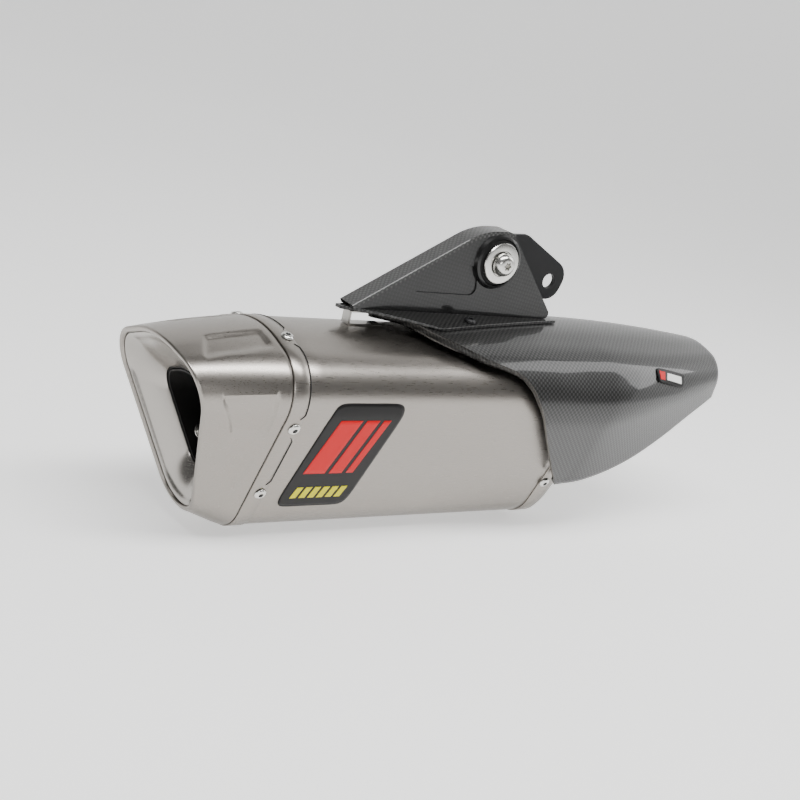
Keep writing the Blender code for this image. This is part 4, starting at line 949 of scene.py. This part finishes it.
def base_edge_y(x, wide_y):
    """y of the bracket foot's edge at x, on the side where it is widest at wide_y."""
    tip = math.copysign(0.0035, wide_y)
    front = FIN_Y - 0.004 if wide_y < 0 else 0.010
    if x < BASE_WIDE_X:
        return mix(tip, wide_y, (x - BASE_TIP_X) / (BASE_WIDE_X - BASE_TIP_X))
    return mix(wide_y, front, (x - BASE_WIDE_X) / (BASE_FRONT_X - BASE_WIDE_X))


class SILENCER_OT_bracket(bpy.types.Operator):
    """Skin the carbon hanger bracket: web, strip, foot, boss and screws"""

    bl_idname = "silencer.dress_bracket"
    bl_label = "Dress Bracket"

    def execute(self, context):
        """Build the bracket's pieces."""
        dark = looks("cloth_dark")
        weave = looks("cloth")
        web_outline = [tuple(point) for point, _ in fillet_outline(FIN_CORNERS, 16)]
        pocket = [tuple(point) for point, _ in fillet_outline(POCKET_CORNERS, 8)]
        bore = round_hole(HANGER_X, HANGER_Z, BUSH_RADIUS + GAP)
        near = FIN_Y - FIN_WALL / 2
        web = flat_panel("bracket_web", web_outline, [pocket, bore], near, near + 0.0012, dark, 0.0003)
        take_over(web, "silencer", "hanger_bracket")
        back = flat_panel("bracket_web_back", web_outline, [bore], near + 0.0011, near + FIN_WALL, dark, 0.0)
        take_over(back, "silencer")
        rows, uvs = flange_rows()
        strip = skin("bracket_strip", rows, weave, around=True, uvs=uvs, angle=30.0)
        take_over(strip, "silencer")
        rows = []
        uvs = []
        for k in range(53):
            x = mix(BASE_TIP_X, BASE_FRONT_X, k / 52)
            low = base_edge_y(x, BASE_NEAR_Y)
            high = base_edge_y(x, BASE_FAR_Y)
            line = [mix(low, high, j / 30) for j in range(31)]
            rows.append([Vector((x, y, roof_z(y, BASE_OFFSET))) for y in line])
            uvs.append([(x, y) for y in line])
        foot = skin("bracket_foot", rows, weave, uvs=uvs, outside=Vector((0.0, 0.0, 0.0)))
        add_thickness(foot, BASE_WALL)
        add_bevel(foot, 0.0006, 2)
        take_over(foot, "silencer")
        inner = BUSH_RADIUS + GAP
        boss = turned("bracket_boss", (
            (inner, BOSS_RISE - near), (inner, BOSS_RISE + 0.0004 - near),
            (BOSS_RADIUS - 0.0012, BOSS_RISE - near), (BOSS_RADIUS - 0.0004, 0.0026 - near),
            (BOSS_RADIUS, 0.0018 - near), (BOSS_RADIUS + 0.0010, -near),
            (BOSS_RADIUS, BOSS_BACK), (inner, BOSS_BACK)),
            (HANGER_X, 0.0, HANGER_Z), (0.0, -1.0, 0.0), dark, 80, True)
        take_over(boss, "silencer")
        for number in (1, 2, 3):
            name = "bracket_screw_%d" % number
            take_over(copy_node(name + "_soft", name, looks("coat"), 0.0003), "silencer", name)
        for name, key in (("tip_clip", "steel"), ("hanger_saddle", "steel")):
            take_over(copy_node(name + "_soft", name, looks(key), 0.0003), "silencer", name)
        return {"FINISHED"}


class SILENCER_OT_hanger(bpy.types.Operator):
    """Skin the bush, collar, washer, bolt, nut and steel plate"""

    bl_idname = "silencer.dress_hanger"
    bl_label = "Dress Hanger"

    def execute(self, context):
        """Build the hanger's pieces."""
        middle = (HANGER_X, 0.0, HANGER_Z)
        outward = (0.0, -1.0, 0.0)
        rubber = turned("rubber_bush_skin", (
            (BUSH_BORE, 0.0125), (BUSH_RADIUS - 0.0016, 0.0125), (BUSH_RADIUS - 0.0004, 0.0121),
            (BUSH_RADIUS, 0.0112), (BUSH_RADIUS, -0.0080), (BUSH_BORE, -0.0080)),
            middle, outward, looks("rubber"), 72, True)
        take_over(rubber, "silencer", "rubber_bush")
        collar = turned("bush_collar_skin", (
            (COLLAR_BORE, 0.0132), (COLLAR_RADIUS, 0.0132), (COLLAR_RADIUS, -0.0110), (COLLAR_BORE, -0.0110)),
            middle, outward, looks("steel"), 48, True)
        take_over(collar, "silencer", "bush_collar")
        rim = HANGER_WASHER_RADIUS
        washer = turned("hanger_washer_skin", (
            (COLLAR_BORE, 0.0150), (0.0098, 0.0150), (0.0103, 0.0159), (rim - 0.0016, 0.0159),
            (rim - 0.0005, 0.0156), (rim, 0.0149), (rim, 0.0135), (COLLAR_BORE, 0.0135)),
            middle, outward, looks("zinc"), 96, True)
        take_over(washer, "silencer", "hanger_washer")
        self.bolt(middle)
        nut = copy_node("mount_nut_soft", "mount_nut", looks("zinc"), 0.0004)
        take_over(nut, "silencer", "mount_nut")
        plate = copy_node("hanger_plate_soft", "hanger_plate", looks("coat"), 0.0006)
        take_over(plate, "hanger_plate", "hanger_plate")
        return {"FINISHED"}

    def bolt(self, middle):
        """The pan head bolt with its six-lobed socket."""
        head = 0.0162
        steps = 96
        profile = ((0.0, 0.0024), (1.0, 0.0024), (1.0, 0.0062), (1.04, 0.0068))
        outer = ((0.0052, 0.0069), (0.0066, 0.0064), (0.0079, 0.0052), (0.0089, 0.0034), (0.0093, 0.0016),
                 (0.0093, 0.0), (MOUNT_BOLT_RADIUS, 0.0), (MOUNT_BOLT_RADIUS, -0.0422), (0.0, -0.0422))
        turn = Vector((0.0, -1.0, 0.0)).to_track_quat("Z", "Y").to_matrix()
        rows = []
        for radius, height in profile:
            row = []
            for step in range(steps):
                angle = 2 * math.pi * step / steps
                lobe = 0.0029 + 0.0005 * math.cos(6 * angle)
                reach = radius * lobe
                spot = Vector((reach * math.cos(angle), reach * math.sin(angle), head + height))
                row.append(Vector(middle) + turn @ spot)
            rows.append(row)
        for radius, height in outer:
            row = []
            for step in range(steps):
                angle = 2 * math.pi * step / steps
                spot = Vector((radius * math.cos(angle), radius * math.sin(angle), head + height))
                row.append(Vector(middle) + turn @ spot)
            rows.append(row)
        bolt = skin("mount_bolt_skin", rows, looks("zinc"), around=True, angle=32.0)
        take_over(bolt, "silencer", "mount_bolt")


# ---- the inlet ----------------------------------------------------------------------------------------


class SILENCER_OT_inlet(bpy.types.Operator):
    """Dress the link pipe, its clamp, the shield's stay and the inner pieces"""

    bl_idname = "silencer.dress_inlet"
    bl_label = "Dress Inlet"

    def execute(self, context):
        """Soften the CAD pieces and give the hidden ones their materials."""
        for name, key, body in (("link_pipe", "titanium", "silencer"), ("clamp_band", "steel", "inlet_clamp"),
                                ("clamp_bolt", "zinc", "inlet_clamp"), ("clamp_nut", "zinc", "inlet_clamp"),
                                ("shield_stay", "steel", "silencer"), ("shield_boss", "rubber", "silencer"),
                                ("shield_screw", "zinc", "silencer")):
            take_over(copy_node(name + "_soft", name, looks(key), 0.0003), body, name)
        for name, key in (("perforated_core", "steel"), ("rear_baffle", "steel"), ("front_baffle", "steel"),
                          ("packing_wool", "wool"), ("damper_weld_nut", "steel")):
            data = bpy.data.objects[name].data
            data.materials.clear()
            data.materials.append(looks(key))
        return {"FINISHED"}


# ---- label and badge ----------------------------------------------------------------------------------


def can_spot(share_x, share_up, lift):
    """A spot on the label's area of the sleeve from shares of its length and height."""
    point, normal = walk_point(mix(*LABEL_WALKS, share_up))
    x = LABEL_X + LABEL_LEAN * share_up + LABEL_LENGTH * share_x
    return Vector((x, point.x + normal.x * lift, point.y + normal.y * lift))


def shield_spot(share_x, share_down, lift):
    """A spot on the badge's area of the shield from shares of its length and height."""
    x = mix(*BADGE_X, share_x)
    point, normal = shield_point(x, mix(*BADGE_WALKS, share_down))
    return Vector((x, point.x + normal.x * lift, point.y + normal.y * lift))


def patch(name, corners, spot, lift, thickness, material, steps=14, round_off=0.0):
    """A four-cornered flat mark laid on a skin; corners are shares, in order round the mark."""
    rows = []
    a, b, c, d = (Vector(corner) for corner in corners)
    for i in range(steps + 1):
        row = []
        for j in range(steps + 1):
            u = i / steps
            v = j / steps
            if round_off:
                u, v = rounded_share(u, v, round_off)
            place = a.lerp(b, u).lerp(d.lerp(c, u), v)
            row.append(spot(place.x, place.y, lift))
        rows.append(row)
    item = skin(name, rows, material, outside=Vector((0.2, 0.0, 0.0)))
    add_thickness(item, thickness)
    take_over(item, "silencer")
    return item


def rounded_share(u, v, amount):
    """Pull the corners of the unit square in, so that it ends in round corners."""
    x = 2 * u - 1
    y = 2 * v - 1
    reach = max(abs(x), abs(y))
    if reach == 0.0:
        return u, v
    power = 10.0
    length = (abs(x / reach) ** power + abs(y / reach) ** power) ** (1 / power)
    pull = mix(1.0, 1.0 / length, amount)
    return (x * pull + 1) / 2, (y * pull + 1) / 2


class SILENCER_OT_labels(bpy.types.Operator):
    """Lay the label on the sleeve and the badge on the shield"""

    bl_idname = "silencer.dress_labels"
    bl_label = "Dress Labels"

    def execute(self, context):
        """Build a plain black label with generic bars, and a small two-tone badge."""
        label = patch("side_label_foil", ((0, 0), (1, 0), (1, 1), (0, 1)), can_spot, 0.0004, 0.0003,
                      looks("foil"), 36, 1.0)
        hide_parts("side_label")
        for number, (low, width) in enumerate(((0.14, 0.30), (0.50, 0.18), (0.74, 0.10)), start=1):
            patch("label_red_bar_%d" % number,
                  ((low - 0.03, 0.34), (low + width - 0.03, 0.34), (low + width + 0.03, 0.86),
                   (low + 0.03, 0.86)), can_spot, 0.0006, 0.0002, looks("red"))
        for number in range(6):
            low = 0.14 + number * 0.125
            patch("label_yellow_dash_%d" % (number + 1),
                  ((low, 0.09), (low + 0.085, 0.09), (low + 0.105, 0.20), (low + 0.020, 0.20)), can_spot,
                  0.0006, 0.0002, looks("yellow"))
        badge = patch("shield_badge_foil", ((0, 0), (1, 0), (1, 1), (0, 1)), shield_spot, 0.0005, 0.0004,
                      looks("foil"), 16, 1.0)
        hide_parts("shield_badge")
        patch("badge_red_bar", ((0.08, 0.2), (0.28, 0.2), (0.24, 0.8), (0.08, 0.8)), shield_spot, 0.0007,
              0.0002, looks("red"))
        patch("badge_white_bar", ((0.36, 0.25), (0.90, 0.25), (0.90, 0.75), (0.32, 0.75)), shield_spot,
              0.0007, 0.0002, looks("white"))
        return {"FINISHED"}


# ---- the stage ----------------------------------------------------------------------------------------


def soft_light(name, place, target, size, power, colour="#FFFFFF"):
    """An area light that faces a target."""
    lamp = bpy.data.lights.new(name, "AREA")
    lamp.shape = "RECTANGLE"
    lamp.size = size[0]
    lamp.size_y = size[1]
    lamp.energy = power
    lamp.color = linear(colour)[:3]
    item = bpy.data.objects.new(name, lamp)
    item.location = place
    item.rotation_euler = (Vector(target) - Vector(place)).to_track_quat("-Z", "Y").to_euler()
    bpy.context.scene.collection.objects.link(item)
    return item


class SILENCER_OT_stage(bpy.types.Operator):
    """Set the pale floor, the soft lights and the camera"""

    bl_idname = "silencer.set_stage"
    bl_label = "Set Stage"

    def execute(self, context):
        """Build the studio round the silencer."""
        power = context.scene.silencer_looks.light_power
        floor_material, _, shader = principled("pale_floor", "#F6F6F5", 0.0, 0.9)
        shader.inputs["Emission Color"].default_value = linear("#FFFFFF")
        shader.inputs["Emission Strength"].default_value = 0.62
        mesh = bpy.data.meshes.new("studio_floor")
        low = -0.0835 - HANGER_Z - 0.0035
        profile = [(-40.0, low), (2.2, low)]
        profile += [(2.2 + math.sin(a) * 1.4, low + 1.4 - math.cos(a) * 1.4)
                    for a in (math.pi * k / 24 for k in range(1, 13))]
        profile.append((3.6, 6.0))
        ahead = Vector((0.615, 0.789, 0.0))
        aside = Vector((0.789, -0.615, 0.0))
        verts = [ahead * reach + aside * wide + Vector((0.0, 0.0, height))
                 for reach, height in profile for wide in (-40.0, 40.0)]
        faces = [(2 * k, 2 * k + 1, 2 * k + 3, 2 * k + 2) for k in range(len(profile) - 1)]
        mesh.from_pydata(verts, [], faces)
        mesh.shade_smooth()
        mesh.materials.append(floor_material)
        floor = bpy.data.objects.new("studio_floor", mesh)
        context.scene.collection.objects.link(floor)
        world = bpy.data.worlds.new("studio_world")
        world.use_nodes = True
        backdrop = world.node_tree.nodes["Background"]
        backdrop.inputs["Color"].default_value = linear("#F6F6F6")
        backdrop.inputs["Strength"].default_value = 0.20
        context.scene.world = world
        target = (0.0, 0.0, -0.12)
        lights = [
            soft_light("overhead_softbox", (-0.15, -0.55, 1.25), target, (1.6, 0.35), 30.0 * power),
            soft_light("outer_side_softbox", (-0.9, -1.5, 0.35), target, (0.9, 0.30), 5.0 * power),
            soft_light("front_rim_softbox", (1.2, -0.4, 0.7), target, (0.5, 0.9), 7.0 * power),
        ]
        self.camera(context)
        return {"FINISHED"}

    def camera(self, context):
        """A long lens from behind the outer side, a little above and a little rolled."""
        right = Vector((0.8095, -0.5437, 0.2215)).normalized()
        back = Vector((-0.5871, -0.7534, 0.2961)).normalized()
        up = back.cross(right).normalized()
        right = up.cross(back)
        lens = bpy.data.cameras.new("product_camera")
        lens.lens = 60.39
        lens.sensor_width = 36.0
        camera = bpy.data.objects.new("product_camera", lens)
        turn = Matrix((right, up, back)).transposed().to_4x4()
        camera.matrix_world = Matrix.Translation(Vector((-0.4748, -0.7925, 0.3264)) + SHIFT) @ turn
        context.scene.collection.objects.link(camera)
        context.scene.camera = camera


# ---- panel and run ------------------------------------------------------------------------------------


class SILENCER_PT_panel(bpy.types.Panel):
    """Buttons and settings in the 3D view's sidebar"""

    bl_idname = "SILENCER_PT_panel"
    bl_label = "Racing Silencer"
    bl_space_type = "VIEW_3D"
    bl_region_type = "UI"
    bl_category = "Silencer"

    def draw(self, context):
        """List the settings and the operators."""
        settings = context.scene.silencer_looks
        for name in ("titanium_roughness", "tow_width", "panel_edge", "light_power"):
            self.layout.prop(settings, name)
        for operator in OPERATORS:
            self.layout.operator(operator.bl_idname)


OPERATORS = (SILENCER_OT_can, SILENCER_OT_outlet, SILENCER_OT_shield, SILENCER_OT_bracket,
             SILENCER_OT_hanger, SILENCER_OT_inlet, SILENCER_OT_labels, SILENCER_OT_stage)
CLASSES = (SilencerLooks, *OPERATORS, SILENCER_PT_panel)


def register():
    """Register the classes and the settings."""
    for each in CLASSES:
        bpy.utils.register_class(each)
    bpy.types.Scene.silencer_looks = bpy.props.PointerProperty(type=SilencerLooks)


def unregister():
    """Remove what register added."""
    del bpy.types.Scene.silencer_looks
    for each in reversed(CLASSES):
        bpy.utils.unregister_class(each)


def main():
    """Run every operator."""
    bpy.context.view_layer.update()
    register()
    bpy.ops.silencer.dress_can()
    bpy.ops.silencer.dress_outlet()
    bpy.ops.silencer.dress_shield()
    bpy.ops.silencer.dress_bracket()
    bpy.ops.silencer.dress_hanger()
    bpy.ops.silencer.dress_inlet()
    bpy.ops.silencer.dress_labels()
    bpy.ops.silencer.set_stage()


if __name__ == "__main__":
    main()
